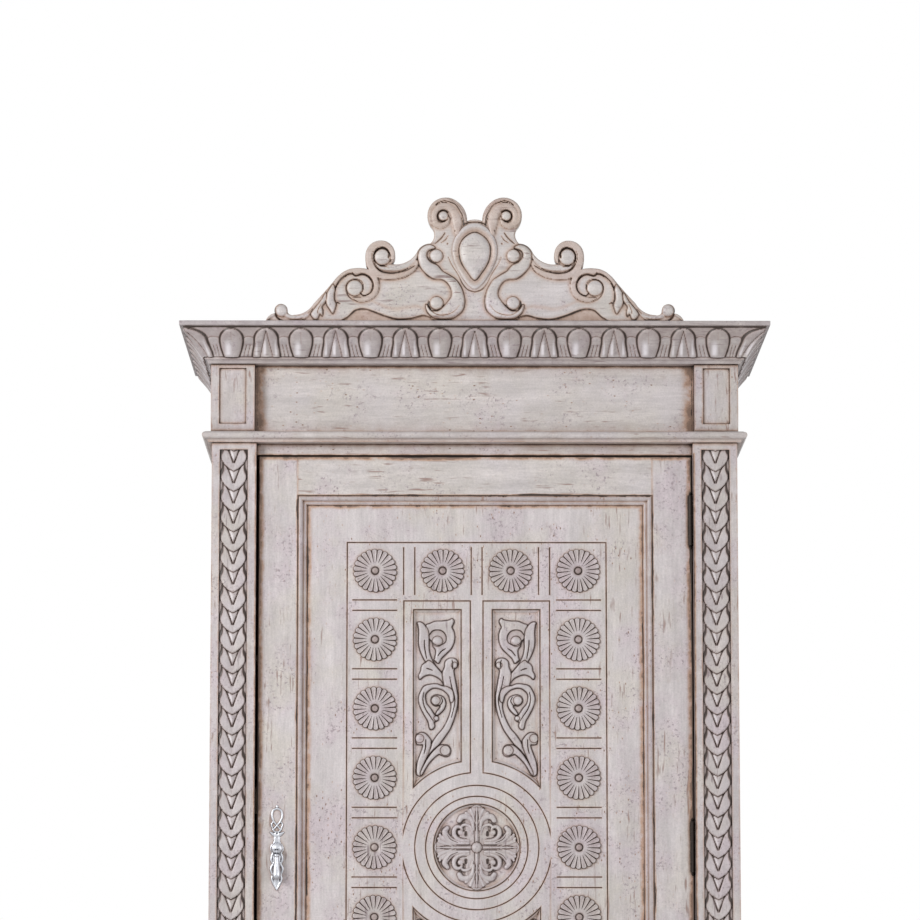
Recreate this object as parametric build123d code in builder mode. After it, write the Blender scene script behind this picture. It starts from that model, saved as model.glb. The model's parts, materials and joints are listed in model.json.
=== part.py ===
"""Bonnetiere: a tall single-door linen cupboard in carved and painted wood.

Frame: +X to the right, +Y into the depth, +Z up, millimetres. The origin is on the floor in
the middle of the footprint. The front looks along -Y.
"""

import os
from math import cos, radians, sin

from build123d import *

# ---- driving dimensions -------------------------------------------------------------------

# overall
depth_total = 600.0          # tip of the cornice to the back of the cabinet
cornice_projection = 61.5    # how far the cornice stands out from the pilasters
back_y = depth_total / 2
front_y = -depth_total / 2 + cornice_projection   # front plane of pilasters and blocks
body_half = 503.0            # half the width across the pilasters

# heights, from the floor up
plinth_top = 90.0
base_moulding_top = 125.0
lower_bead_bottom = 255.0
lower_bead_top = 275.0
door_bottom = 300.0
door_height = 1496.0
door_top = door_bottom + door_height
door_mid = door_bottom + door_height / 2
door_gap = 3.7               # above and below the door
upper_bead_bottom = 1821.3
upper_bead_top = 1841.3
cornice_bottom = 1973.3
cornice_top = 2047.5

# casework
post_width = 85.0            # pilaster seen from the front
post_depth = 60.0
post_inner = body_half - post_width
setback = 20.0               # frieze boards and rails stand this far behind the pilasters
rail_thickness = 22.0
side_thickness = 22.0
board = 18.0
side_inner = body_half - side_thickness
post_back = front_y + post_depth
rail_y = front_y + setback
plinth_projection = 24.0
bead_projection = 18.6

# side frames
side_stile = 80.0
side_bottom_rail_top = 240.0
side_top_rail_bottom = 1800.0
side_panel_thickness = 8.0
side_panel_recess = 8.0
groove = 8.0

# inside
shelf_tops = (670.0, 1045.0, 1420.0)
shelf_front_y = -175.0
shelf_clearance = 0.5
back_panel_thickness = 8.0
back_panel_y = back_y - 10.0
pin_radius = 3.5
pin_length = 12.0
pin_depth = 6.0
shelf_pin_ys = (-140.0, 250.0)

# door
door_left = -413.5
door_right = 415.5
door_y = front_y + 16.0      # face of the door frame
door_thickness = 24.0
stile_width = 75.0
panel_recess = 10.0
panel_thickness = 12.0
panel_moulding_width = 18.0
panel_moulding_height = 11.0
design_x = 4.0               # axis of the carved layout on the door panel

# carved layout of the door panel
rosette_radius = 41.0
petal_count = 22
rosette_pitch = 132.2
rosette_column = 194.2
rosette_inner_column = 65.1
rosette_rows = 4             # rows above and below the middle one
medallion_radius = 82.0
carving_depth = 6.0
pocket_inner = 30.0
pocket_outer = 120.5
pocket_top = 453.8
pocket_arc = 166.0

# leaf strips in the pilasters
channel_x = 461.0
channel_width = 54.0
channel_depth = 8.0
channel_bottom = 288.4
channel_top = 1807.6
leaf_count = 39
leaf_half_width = 26.0
leaf_thickness_front = 4.4   # leaves over the ground of the strip
strip_ground = 3.0           # thickness of the strip between the leaves

# console blocks of the friezes
console_inner = 422.0
console_outer = 505.5
console_panel_width = 52.0

# crest
crest_front_y = -285.0
crest_thickness = 20.0
band_height = 6.0
band_width = 11.0

# hinges
barrel_radius = 4.5
hinge_pin_radius = 2.2
hinge_running_clearance = 0.05
leaf_thickness = 2.0
leaf_depth = 22.0
hinge_length = 96.0
knuckle_gap = 0.3
knuckle_count = 5
hinge_spread = 624.0         # upper and lower hinge from the middle one
pin_x = post_inner - barrel_radius
pin_y = door_y - barrel_radius - 0.4

# pendant pull
pull_x = -375.0
pull_z = 1045.0
plate_thickness = 2.5
pivot_drop = 7.0             # the pivot below the middle of the boss
pivot_reach = 11.5           # the pivot in front of the plate
pivot_radius = 1.2
pivot_clearance = 0.05

pieces = {}


# ---- helpers ------------------------------------------------------------------------------

def block(x0, x1, y0, y1, z0, z1, mode=Mode.ADD):
    """A squared piece of wood between six planes."""
    with Locations(((x0 + x1) / 2, (y0 + y1) / 2, (z0 + z1) / 2)):
        Box(x1 - x0, y1 - y0, z1 - z0, mode=mode)


def facing(y):
    """Upright plane at depth y: sketch x is X, sketch y is Z, and it looks out of the front."""
    return Plane.XZ.offset(-y)


def arcs(start, *stations):
    """Tangent-free chain of arcs: each station is a point on the arc and its end."""
    for through, end in stations:
        ThreePointArc(start, through, end)
        start = end


def polar(centre, radius, degrees):
    """A point on a circle."""
    return (centre[0] + radius * cos(radians(degrees)), centre[1] + radius * sin(radians(degrees)))


def volute(centre, outer, inner, start, turn, steps=5):
    """Scroll line that winds in by quarter-turn arcs, from the start angle over the whole turn."""
    quarter = turn / steps
    shrink = (outer - inner) / steps
    for k in range(steps):
        a = start + quarter * k
        r = outer - shrink * k
        ThreePointArc(
            polar(centre, r, a),
            polar(centre, r - shrink / 2, a + quarter / 2),
            polar(centre, r - shrink, a + quarter),
        )


# ---- mouldings that run round the front and both sides ------------------------------------

def cornice_profile(out):
    """Small cove and fillet, long hollow for the carved leaves, and lip; out maps (projection, z)."""
    z = cornice_bottom
    Polyline(out(0, z), out(7, z), out(8, z + 3))
    ThreePointArc(out(8, z + 3), out(10, z + 5.8), out(14, z + 7))
    Line(out(14, z + 7), out(14, z + 13))
    ThreePointArc(out(14, z + 13), out(32, z + 40.8), out(55, z + 64.5))
    Polyline(
        out(55, z + 64.5),
        out(cornice_projection, z + 65.6),
        out(cornice_projection, cornice_top),
        out(0, cornice_top),
        out(0, z),
    )


def bead_profile(bottom):
    """Half-round bead over a small cove, for a strip that starts at this height."""
    def profile(out):
        Line(out(0, bottom), out(7, bottom))
        ThreePointArc(out(7, bottom), out(8.5, bottom + 4.5), out(13, bottom + 6))
        ThreePointArc(out(13, bottom + 6), out(bead_projection, bottom + 12.5), out(13, bottom + 19))
        Polyline(out(13, bottom + 19), out(11, bottom + 20), out(0, bottom + 20), out(0, bottom))
    return profile


def base_profile(out):
    """Ogee that eases the plinth back to the pilasters."""
    z = plinth_top
    Polyline(out(0, z), out(plinth_projection, z), out(plinth_projection, z + 9), out(21, z + 10))
    ThreePointArc(out(21, z + 10), out(17, z + 20), out(9, z + 24))
    ThreePointArc(out(9, z + 24), out(4, z + 27), out(2, z + 33))
    Polyline(out(2, z + 33), out(2, base_moulding_top), out(0, base_moulding_top), out(0, z))


def mitre(side, front):
    """Mitre plane of a corner; its normal looks into the front run or into the return."""
    sign = 1 if front else -1
    return Plane(
        origin=(side * body_half, front_y, 0),
        x_dir=(0, 0, 1),
        z_dir=(-side * sign, -sign, 0),
    )


def front_run(profile, reach, bottom, top, backing_y):
    """Front length of a moulding, mitred at both ends, with its solid backing."""
    with BuildPart() as run:
        with BuildSketch(Plane.YZ):
            with BuildLine():
                profile(lambda p, z: (front_y - p, z))
            make_face()
        extrude(amount=body_half + reach, both=True)
        for side in (-1, 1):
            split(bisect_by=mitre(side, True), keep=Keep.TOP)
        block(-body_half, body_half, front_y, backing_y, bottom, top)
    return run


def return_run(profile, reach, side):
    """Side length of a moulding, mitred at the front and cut square at the back."""
    with BuildPart() as run:
        with BuildSketch(facing(back_y)):
            with BuildLine():
                profile(lambda p, z: (side * (body_half + p), z))
            make_face()
        extrude(amount=back_y - front_y + reach)
        split(bisect_by=mitre(side, False), keep=Keep.TOP)
    return run


# cornice: three mitred lengths
pieces["cornice_front"] = front_run(
    cornice_profile, cornice_projection, cornice_bottom, cornice_top, rail_y + rail_thickness
)
pieces["cornice_left"] = return_run(cornice_profile, cornice_projection, -1)
pieces["cornice_right"] = return_run(cornice_profile, cornice_projection, 1)


def three_sided(profile, reach, bottom, top):
    """Front strip and both returns as three separate lengths in one piece of trim."""
    front = front_run(profile, reach, bottom, top, rail_y)
    left = return_run(profile, reach, -1)
    right = return_run(profile, reach, 1)
    with BuildPart() as trim:
        trim.part = Compound(children=[front.part, left.part, right.part])
    return trim


pieces["upper_bead_moulding"] = three_sided(
    bead_profile(upper_bead_bottom), bead_projection, upper_bead_bottom, upper_bead_top
)
pieces["lower_bead_moulding"] = three_sided(
    bead_profile(lower_bead_bottom), bead_projection, lower_bead_bottom, lower_bead_top
)
pieces["base_moulding"] = three_sided(
    base_profile, plinth_projection, plinth_top, base_moulding_top
)


# ---- carcass ------------------------------------------------------------------------------

plinth_half = body_half + plinth_projection

with BuildPart() as plinth_front:
    block(-plinth_half, plinth_half, front_y - plinth_projection, front_y, 0, plinth_top)
pieces["plinth_front"] = plinth_front

for side, name in ((-1, "left"), (1, "right")):
    with BuildPart() as plinth_side:
        block(
            min(side * body_half, side * plinth_half), max(side * body_half, side * plinth_half),
            front_y, back_y, 0, plinth_top,
        )
    pieces[f"plinth_{name}"] = plinth_side

with BuildPart() as plinth_back:
    block(-side_inner, side_inner, back_y - rail_thickness, back_y, 0, plinth_top)
pieces["plinth_back"] = plinth_back

# one leaf of the pilaster strips, about its own middle: two lobes over a point
with BuildSketch() as leaf_outline:
    with BuildLine():
        Polyline((0, -19.2), (leaf_half_width, 5), (22, 17), (10, 19), (0, 12))
        mirror(about=Plane.YZ)
    make_face()

for side, name in ((-1, "left"), (1, "right")):
    low_x, high_x = sorted((side * post_inner, side * body_half))

    # front post: a pilaster between the beads, notched behind the applied blocks and beads
    with BuildPart() as pilaster:
        block(low_x, high_x, front_y, post_back, 0, cornice_bottom)
        for z0, z1 in ((plinth_top, lower_bead_top), (upper_bead_bottom, cornice_bottom)):
            block(low_x, high_x, front_y, rail_y, z0, z1, Mode.SUBTRACT)
        block(
            side * channel_x - channel_width / 2, side * channel_x + channel_width / 2,
            front_y, front_y + channel_depth, channel_bottom, channel_top, Mode.SUBTRACT,
        )
    pieces[f"pilaster_{name}"] = pilaster

    # strip of overlapping leaves laid in the channel of the pilaster
    leaf_pitch = (channel_top - channel_bottom) / leaf_count
    strip_y = front_y + channel_depth
    with BuildPart() as leaf_strip:
        block(
            side * channel_x - channel_width / 2, side * channel_x + channel_width / 2,
            strip_y - strip_ground, strip_y, channel_bottom, channel_top,
        )
        with BuildSketch(facing(strip_y - strip_ground)):
            with Locations((side * channel_x, (channel_bottom + channel_top) / 2)):
                with GridLocations(leaf_pitch, leaf_pitch, 1, leaf_count):
                    add(leaf_outline.sketch)
        extrude(amount=leaf_thickness_front)
    pieces[f"leaf_strip_{name}"] = leaf_strip

    # side: two stiles and two rails round a flat panel
    outer = side * body_half
    inner = side * side_inner
    x0, x1 = sorted((outer, inner))
    groove_outer = side * (body_half - side_panel_recess)
    groove_inner = side * (body_half - side_panel_recess - side_panel_thickness)
    g0, g1 = sorted((groove_outer, groove_inner))
    panel_box = (
        g0, g1, post_back + side_stile - groove, back_y - side_stile + groove,
        side_bottom_rail_top - groove, side_top_rail_bottom + groove,
    )
    frame_boxes = (
        (post_back, post_back + side_stile, 0, cornice_top - board),
        (back_y - side_stile, back_y, 0, cornice_top - board),
        (post_back + side_stile, back_y - side_stile, 0, side_bottom_rail_top),
        (post_back + side_stile, back_y - side_stile, side_top_rail_bottom, cornice_top - board),
    )
    members = []
    for y0, y1, z0, z1 in frame_boxes:
        with BuildPart() as member:
            block(x0, x1, y0, y1, z0, z1)
            block(*panel_box, Mode.SUBTRACT)
            for shelf_top in shelf_tops:
                for pin_place in shelf_pin_ys:
                    if y0 < pin_place < y1 and z0 < shelf_top < z1:
                        hole_x = side * (side_inner + pin_depth / 2)
                        with Locations((hole_x, pin_place, shelf_top - board - pin_radius)):
                            Cylinder(
                                pin_radius, pin_depth, rotation=(0, 90, 0), mode=Mode.SUBTRACT
                            )
        members.append(member.part)
    with BuildPart() as side_frame:
        side_frame.part = Compound(children=members)
    pieces[f"side_frame_{name}"] = side_frame

    with BuildPart() as side_panel:
        block(*panel_box)
    pieces[f"side_panel_{name}"] = side_panel

with BuildPart() as header_rail:
    block(
        -post_inner, post_inner, rail_y, rail_y + rail_thickness,
        door_top + door_gap, upper_bead_top,
    )
pieces["header_rail"] = header_rail

with BuildPart() as bottom_rail:
    block(
        -post_inner, post_inner, rail_y, rail_y + rail_thickness,
        lower_bead_bottom, door_bottom - door_gap,
    )
pieces["bottom_rail"] = bottom_rail

with BuildPart() as frieze_board:
    block(
        -post_inner, post_inner, rail_y, rail_y + rail_thickness, upper_bead_top, cornice_bottom
    )
pieces["frieze_board"] = frieze_board

with BuildPart() as lower_frieze_board:
    block(
        -post_inner, post_inner, rail_y, rail_y + rail_thickness, plinth_top, lower_bead_bottom
    )
pieces["lower_frieze_board"] = lower_frieze_board


def console(side, bottom, top):
    """Block with a swelling face and a sunk field that follows the swell."""
    width = console_outer - console_inner
    middle = side * (console_inner + console_outer) / 2
    height = top - bottom

    def face_line(sink):
        ThreePointArc(
            (front_y - 1 + sink, top), (front_y - 5.5 + sink, bottom + 0.55 * height),
            (front_y + 2.5 + sink, bottom),
        )

    with BuildPart() as piece:
        with BuildSketch(Plane.YZ.offset(middle)):
            with BuildLine():
                face_line(0)
                Polyline(
                    (front_y + 2.5, bottom), (rail_y, bottom), (rail_y, top), (front_y - 1, top)
                )
            make_face()
        extrude(amount=width / 2, both=True)
        with BuildSketch(Plane.YZ.offset(middle)):
            with BuildLine():
                face_line(3.5)
                Polyline(
                    (front_y + 6, bottom), (front_y - 20, bottom), (front_y - 20, top),
                    (front_y + 2.5, top),
                )
            make_face()
            with Locations((front_y, bottom + height / 2 + 4)):
                Rectangle(60, height - 24, mode=Mode.INTERSECT)
        extrude(amount=console_panel_width / 2, both=True, mode=Mode.SUBTRACT)
    return piece


for side, name in ((-1, "left"), (1, "right")):
    pieces[f"frieze_block_{name}"] = console(side, upper_bead_top, cornice_bottom)
    pieces[f"lower_block_{name}"] = console(side, base_moulding_top, lower_bead_bottom)


def carcass_board(bottom, top):
    """Fixed board across the carcass, notched round both front posts."""
    with BuildPart() as fixed:
        block(-side_inner, side_inner, post_back, back_panel_y, bottom, top)
        block(-post_inner, post_inner, rail_y + rail_thickness, post_back, bottom, top)
    return fixed


pieces["bottom_board"] = carcass_board(door_bottom - door_gap - board, door_bottom - door_gap)
pieces["inner_top"] = carcass_board(door_top + door_gap, door_top + door_gap + board)

with BuildPart() as top_board:
    block(
        -body_half, body_half, rail_y + rail_thickness, back_y, cornice_top - board, cornice_top
    )
pieces["top_board"] = top_board

with BuildPart() as back_panel:
    block(
        -side_inner, side_inner, back_panel_y, back_panel_y + back_panel_thickness,
        plinth_top, cornice_top - board,
    )
pieces["back_panel"] = back_panel

for name, shelf_top in zip(("lower", "middle", "upper"), shelf_tops):
    with BuildPart() as shelf:
        block(
            -side_inner + shelf_clearance, side_inner - shelf_clearance,
            shelf_front_y, back_panel_y, shelf_top - board, shelf_top,
        )
        front_edges = shelf.edges().filter_by(Axis.X).group_by(Axis.Y)[0]
        fillet(front_edges, 3)
    pieces[f"shelf_{name}"] = shelf

with BuildPart() as shelf_pins:
    for shelf_top in shelf_tops:
        for side in (-1, 1):
            for pin_place in shelf_pin_ys:
                reach_x = side * (side_inner + pin_depth - pin_length / 2)
                with Locations((reach_x, pin_place, shelf_top - board - pin_radius)):
                    Cylinder(pin_radius, pin_length, rotation=(0, 90, 0))
pieces["shelf_pins"] = shelf_pins


# ---- crest --------------------------------------------------------------------------------

crest_volutes = (
    # centre, outer radius, inner radius, start angle, turn
    ((-58.0, 211.0), 25.0, 7.0, 20.0, 450.0),      # top
    ((-181.0, 130.0), 22.5, 9.0, -130.0, -330.0),  # middle
    ((-230.0, 66.0), 33.0, 9.0, 125.0, -460.0),    # leaf scroll
    ((-88.0, 130.0), 17.0, 6.0, 205.0, -250.0),    # upper eye of the S scroll
    ((-82.0, 38.0), 25.0, 8.0, 30.0, -290.0),      # lower eye of the S scroll
)

with BuildPart() as crest_board:
    with BuildSketch(facing(crest_front_y + crest_thickness)):
        with BuildLine():
            Line((0, cornice_top), (-400.5, cornice_top))
            rise = cornice_top
            arcs(
                (-400.5, rise),
                ((-394, rise + 11), (-382, rise + 17)),
                ((-370.2, rise + 35.4), (-358.2, rise + 20)),
                ((-354, rise + 14.8), (-345, rise + 14)),
                ((-325, rise + 19.5), (-308, rise + 36.4)),
                ((-288.5, rise + 57.8), (-270, rise + 79.7)),
                ((-245, rise + 100.5), (-206, rise + 103)),
                ((-209.2, rise + 117), (-208.8, rise + 135)),
                ((-181, rise + 158.6), (-152.3, rise + 130)),
                ((-153.5, rise + 120), (-158.6, rise + 112.3)),
                ((-133, rise + 115.5), (-111, rise + 135.5)),
                ((-101, rise + 148), (-85.1, rise + 153.1)),
                ((-77.5, rise + 169), (-83.8, rise + 185.8)),
                ((-90.6, rise + 208.5), (-81, rise + 232)),
                ((-57.9, rise + 242.9), (-33, rise + 235)),
                ((-19.5, rise + 219), (-14.4, rise + 197)),
                ((-7, rise + 199.4), (0, rise + 200)),
            )
            Line((0, rise + 200), (0, rise))
        make_face()
        mirror(about=Plane.YZ)
    extrude(amount=crest_thickness)
    # raised scroll bands, each with a round button at its eye
    for centre, outer_r, inner_r, start, turn in crest_volutes:
        lifted = (centre[0], centre[1] + cornice_top)
        with BuildSketch(facing(crest_front_y + 0.5)):
            with BuildLine() as scroll:
                volute(lifted, outer_r - band_width / 4, inner_r, start, turn)
            trace(scroll.line, band_width * 0.8)
            with Locations(lifted):
                Circle(inner_r)
            mirror(about=Plane.YZ)
        extrude(amount=band_height + 0.5)
    # body of the S scroll between its two eyes
    with BuildSketch(facing(crest_front_y + 0.5)):
        with BuildLine() as s_body:
            arcs(
                (-104, cornice_top + 136),
                ((-94, cornice_top + 108), (-76, cornice_top + 92)),
                ((-58, cornice_top + 72), (-60, cornice_top + 46)),
            )
        trace(s_body.line, 13)
        mirror(about=Plane.YZ)
    extrude(amount=band_height + 0.5)
    # rib that runs low along the board
    with BuildSketch(facing(crest_front_y + 0.5)):
        with BuildLine() as rib:
            arcs(
                (-248, cornice_top + 8),
                ((-217, cornice_top + 22), (-170, cornice_top + 12)),
                ((-140, cornice_top + 5), (-98, cornice_top + 14)),
            )
        trace(rib.line, 7)
        mirror(about=Plane.YZ)
    extrude(amount=band_height * 0.6 + 0.5)
pieces["crest_board"] = crest_board

shield_thickness = 8.0
with BuildPart() as crest_cartouche:
    with BuildSketch(facing(crest_front_y)):
        with BuildLine():
            arcs(
                (0, cornice_top + 194),
                ((-28, cornice_top + 184), (-43, cornice_top + 150)),
                ((-38, cornice_top + 118), (-25, cornice_top + 86)),
                ((-13, cornice_top + 70), (0, cornice_top + 62)),
            )
            mirror(about=Plane.YZ)
        make_face()
    extrude(amount=shield_thickness)
    with BuildSketch(facing(crest_front_y - shield_thickness)):
        with BuildLine():
            arcs(
                (0, cornice_top + 174),
                ((-21, cornice_top + 165), (-31, cornice_top + 142)),
                ((-22, cornice_top + 106), (0, cornice_top + 81)),
            )
            mirror(about=Plane.YZ)
        make_face()
    extrude(amount=5, taper=35)
pieces["crest_cartouche"] = crest_cartouche


# ---- door ---------------------------------------------------------------------------------

door_back = door_y + door_thickness
panel_y = door_y + panel_recess
opening_left = door_left + stile_width
opening_right = door_right - stile_width
opening_bottom = door_bottom + stile_width
opening_top = door_top - stile_width
door_panel_box = (
    opening_left - groove, opening_right + groove, panel_y, panel_y + panel_thickness,
    opening_bottom - groove, opening_top + groove,
)

with BuildPart() as door_stile_left:
    block(door_left, opening_left, door_y, door_back, door_bottom, door_top)
    block(*door_panel_box, Mode.SUBTRACT)
    chamfer(door_stile_left.edges().filter_by(Axis.Z).group_by(Axis.X)[0].sort_by(Axis.Y)[0], 1.5)
pieces["door_stile_left"] = door_stile_left

hinge_heights = (door_mid - hinge_spread, door_mid, door_mid + hinge_spread)
with BuildPart() as door_stile_right:
    block(opening_right, door_right, door_y, door_back, door_bottom, door_top)
    block(*door_panel_box, Mode.SUBTRACT)
    for hinge_z in hinge_heights:
        block(
            door_right - leaf_thickness, door_right, door_y, pin_y + leaf_depth,
            hinge_z - hinge_length / 2, hinge_z + hinge_length / 2, Mode.SUBTRACT,
        )
pieces["door_stile_right"] = door_stile_right

with BuildPart() as door_rail_top:
    block(opening_left, opening_right, door_y, door_back, opening_top, door_top)
    block(*door_panel_box, Mode.SUBTRACT)
pieces["door_rail_top"] = door_rail_top

with BuildPart() as door_rail_bottom:
    block(opening_left, opening_right, door_y, door_back, door_bottom, opening_bottom)
    block(*door_panel_box, Mode.SUBTRACT)
pieces["door_rail_bottom"] = door_rail_bottom

with BuildPart() as door_panel:
    block(*door_panel_box)
    # round sinking for the medallion
    with BuildSketch(facing(panel_y)):
        with Locations((design_x, door_mid)):
            Circle(medallion_radius)
    extrude(amount=-carving_depth, mode=Mode.SUBTRACT)
    # four pockets that end in an arc about the medallion
    with BuildSketch(facing(panel_y)):
        with Locations((design_x, door_mid)):
            for across in (-1, 1):
                for up in (-1, 1):
                    with Locations(
                        (across * (pocket_inner + pocket_outer) / 2, up * pocket_top / 2)
                    ):
                        Rectangle(pocket_outer - pocket_inner, pocket_top)
            Circle(pocket_arc, mode=Mode.SUBTRACT)
    extrude(amount=-carving_depth, mode=Mode.SUBTRACT)
pieces["door_panel"] = door_panel


def panel_moulding_length(start, end, inward):
    """One mitred length of the stepped bead that frames the panel."""
    sx, sz = start
    ex, ez = end
    along = Vector(ex - sx, 0, ez - sz)
    length = along.length
    section_plane = Plane(origin=(sx, panel_y, sz), x_dir=(inward[0], 0, inward[1]), z_dir=along)
    # the section plane's own y axis looks out of or into the door
    out = -1 if section_plane.y_dir.Y > 0 else 1
    w = panel_moulding_width
    with BuildPart() as strip:
        with BuildSketch(section_plane):
            with BuildLine():
                Polyline((0, 0), (0, out * 9), (1.5, out * 9))
                ThreePointArc(
                    (1.5, out * 9), (5.5, out * panel_moulding_height), (9.5, out * 8.5)
                )
                Line((9.5, out * 8.5), (11, out * 5.5))
                ThreePointArc((11, out * 5.5), (15, out * 5), (w, out * 1.5))
                Polyline((w, out * 1.5), (w, 0), (0, 0))
            make_face()
        extrude(amount=length)
        for corner, heading in (((sx, sz), 1), ((ex, ez), -1)):
            cut_normal = along.normalized() * heading - Vector(inward[0], 0, inward[1])
            split(
                bisect_by=Plane(
                    origin=(corner[0], panel_y, corner[1]), x_dir=(0, 1, 0), z_dir=cut_normal
                ),
                keep=Keep.TOP,
            )
    return strip.part


corners = (
    (opening_left, opening_bottom), (opening_right, opening_bottom),
    (opening_right, opening_top), (opening_left, opening_top),
)
inwards = ((0, 1), (-1, 0), (0, -1), (1, 0))
lengths = [
    panel_moulding_length(corners[k], corners[(k + 1) % 4], inwards[k]) for k in range(4)
]
with BuildPart() as door_panel_moulding:
    door_panel_moulding.part = Compound(children=lengths)
pieces["door_panel_moulding"] = door_panel_moulding

# twenty-two turned rosettes in two columns and two short rows
rosette_places = [
    (design_x + across * rosette_column, door_mid + row * rosette_pitch)
    for across in (-1, 1)
    for row in range(-rosette_rows, rosette_rows + 1)
] + [
    (design_x + across * rosette_inner_column, door_mid + up * rosette_rows * rosette_pitch)
    for across in (-1, 1)
    for up in (-1, 1)
]
with BuildPart() as rosettes:
    with BuildSketch(facing(panel_y)):
        with Locations(*rosette_places):
            RegularPolygon(rosette_radius, petal_count)
    extrude(amount=4)
    with BuildSketch(facing(panel_y - 4)):
        with Locations(*rosette_places):
            RegularPolygon(8, 10)
    extrude(amount=2)
pieces["rosettes"] = rosettes

# medallion: four leaf arms about a button, in the round sinking
sunk_y = panel_y + carving_depth
with BuildPart() as medallion:
    with BuildSketch(facing(sunk_y)):
        with Locations((design_x, door_mid)):
            Circle(30)
            with PolarLocations(46, 4, start_angle=90):
                Ellipse(31, 21)
            with PolarLocations(38, 4, start_angle=45):
                Circle(17)
            with PolarLocations(36, 4, start_angle=45):
                Circle(6, mode=Mode.SUBTRACT)
    extrude(amount=carving_depth)
    with BuildSketch(facing(panel_y)):
        with Locations((design_x, door_mid)):
            Circle(10.5)
    extrude(amount=4)
pieces["medallion"] = medallion

# vine scrolls in the four pockets, drawn for the upper left one and mirrored
vine_buds = (((-43, 350), 7), ((-74, 281), 15), ((-71, 395), 14), ((-104, 209), 7), ((-60, 186), 8))


def vine(across, up):
    """Stem, two leaves that curl round their buds, and two side shoots, in one pocket."""
    def at(x, z):
        return (design_x - across * x, door_mid + up * z)

    with BuildPart() as carving:
        with BuildSketch(facing(sunk_y)):
            with BuildLine() as stem:
                arcs(
                    at(-106, 140),
                    (at(-84, 190), at(-45, 245)),
                    (at(-36, 283), at(-43, 350)),
                )
            trace(stem.line, 9)
            with BuildLine() as lower_leaf:
                arcs(
                    at(-84, 230),
                    (at(-108, 275), at(-84, 313)),
                    (at(-62, 313), at(-42, 292)),
                )
            trace(lower_leaf.line, 8)
            with BuildLine() as upper_leaf:
                arcs(
                    at(-43, 322),
                    (at(-82, 354), at(-93, 408)),
                    (at(-66, 430), at(-42, 400)),
                    (at(-48, 374), at(-66, 357)),
                )
            trace(upper_leaf.line, 9)
            for (x, z), radius in vine_buds:
                with Locations(at(x, z)):
                    Circle(radius)
            with BuildLine() as shoots:
                Line(at(-104, 209), at(-92, 168))
                Line(at(-60, 186), at(-90, 172))
                Line(at(-71, 395), at(-92, 395))
                Line(at(-74, 281), at(-76, 316))
            trace(shoots.line, 7)
        extrude(amount=carving_depth - 0.5)
    return carving.part


with BuildPart() as scroll_carvings:
    scroll_carvings.part = Compound(
        children=[vine(across, up) for across in (1, -1) for up in (1, -1)]
    )
pieces["scroll_carvings"] = scroll_carvings


# ---- hinges -------------------------------------------------------------------------------

knuckle_pitch = hinge_length / knuckle_count
relief = barrel_radius + 0.5    # the plates stay this far behind the pin between knuckles


def hinge_leaf(hinge_z, plate_x0, plate_x1, own_knuckles, bore_radius):
    """Plate with knuckles on the pin's axis."""
    bottom = hinge_z - hinge_length / 2
    with BuildPart() as leaf:
        block(
            plate_x0, plate_x1, pin_y + relief, pin_y + leaf_depth, bottom, bottom + hinge_length
        )
        for k in own_knuckles:
            z0 = bottom + k * knuckle_pitch + knuckle_gap / 2
            z1 = bottom + (k + 1) * knuckle_pitch - knuckle_gap / 2
            block(plate_x0, plate_x1, pin_y, pin_y + relief, z0, z1)
            with Locations((pin_x, pin_y, (z0 + z1) / 2)):
                Cylinder(barrel_radius, z1 - z0)
        with Locations((pin_x, pin_y, hinge_z)):
            Cylinder(bore_radius, hinge_length, mode=Mode.SUBTRACT)
    return leaf


for name, hinge_z in zip(("lower", "middle", "upper"), hinge_heights):
    pieces[f"hinge_{name}_frame_leaf"] = hinge_leaf(
        hinge_z, post_inner - leaf_thickness, post_inner, (0, 2, 4), hinge_pin_radius
    )
    pieces[f"hinge_{name}_door_leaf"] = hinge_leaf(
        hinge_z, door_right - leaf_thickness, door_right, (1, 3),
        hinge_pin_radius + hinge_running_clearance,
    )
    with BuildPart() as hinge_pin:
        with Locations((pin_x, pin_y, hinge_z)):
            Cylinder(hinge_pin_radius, hinge_length)
        # turned ball tips on collars, above and below the barrel
        for up in (-1, 1):
            tip_plane = Plane(
                origin=(pin_x, pin_y, hinge_z + up * hinge_length / 2),
                x_dir=(1, 0, 0), z_dir=(0, -up, 0),
            )
            with BuildSketch(tip_plane):
                with BuildLine():
                    Polyline(
                        (0, 0), (3.6, 0), (2.2, 1.6), (3.2, 3.8), (1.6, 6.4), (0, 6.6), close=True
                    )
                make_face()
            revolve(axis=Axis((pin_x, pin_y, hinge_z), (0, 0, 1)))
    pieces[f"hinge_{name}_pin"] = hinge_pin


# ---- magnetic catch -----------------------------------------------------------------------

catch_z = door_mid + 90
with BuildPart() as catch_body:
    block(-post_inner, -post_inner + 14, door_back + 2.5, post_back, catch_z - 25, catch_z + 25)
    chamfer(catch_body.edges().filter_by(Axis.Y).group_by(Axis.X)[-1], 2)
pieces["catch_body"] = catch_body

with BuildPart() as catch_strike:
    block(
        door_left + 1, door_left + 14, door_back, door_back + 2, catch_z - 20, catch_z + 20
    )
pieces["catch_strike"] = catch_strike


# ---- pendant pull -------------------------------------------------------------------------

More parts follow.
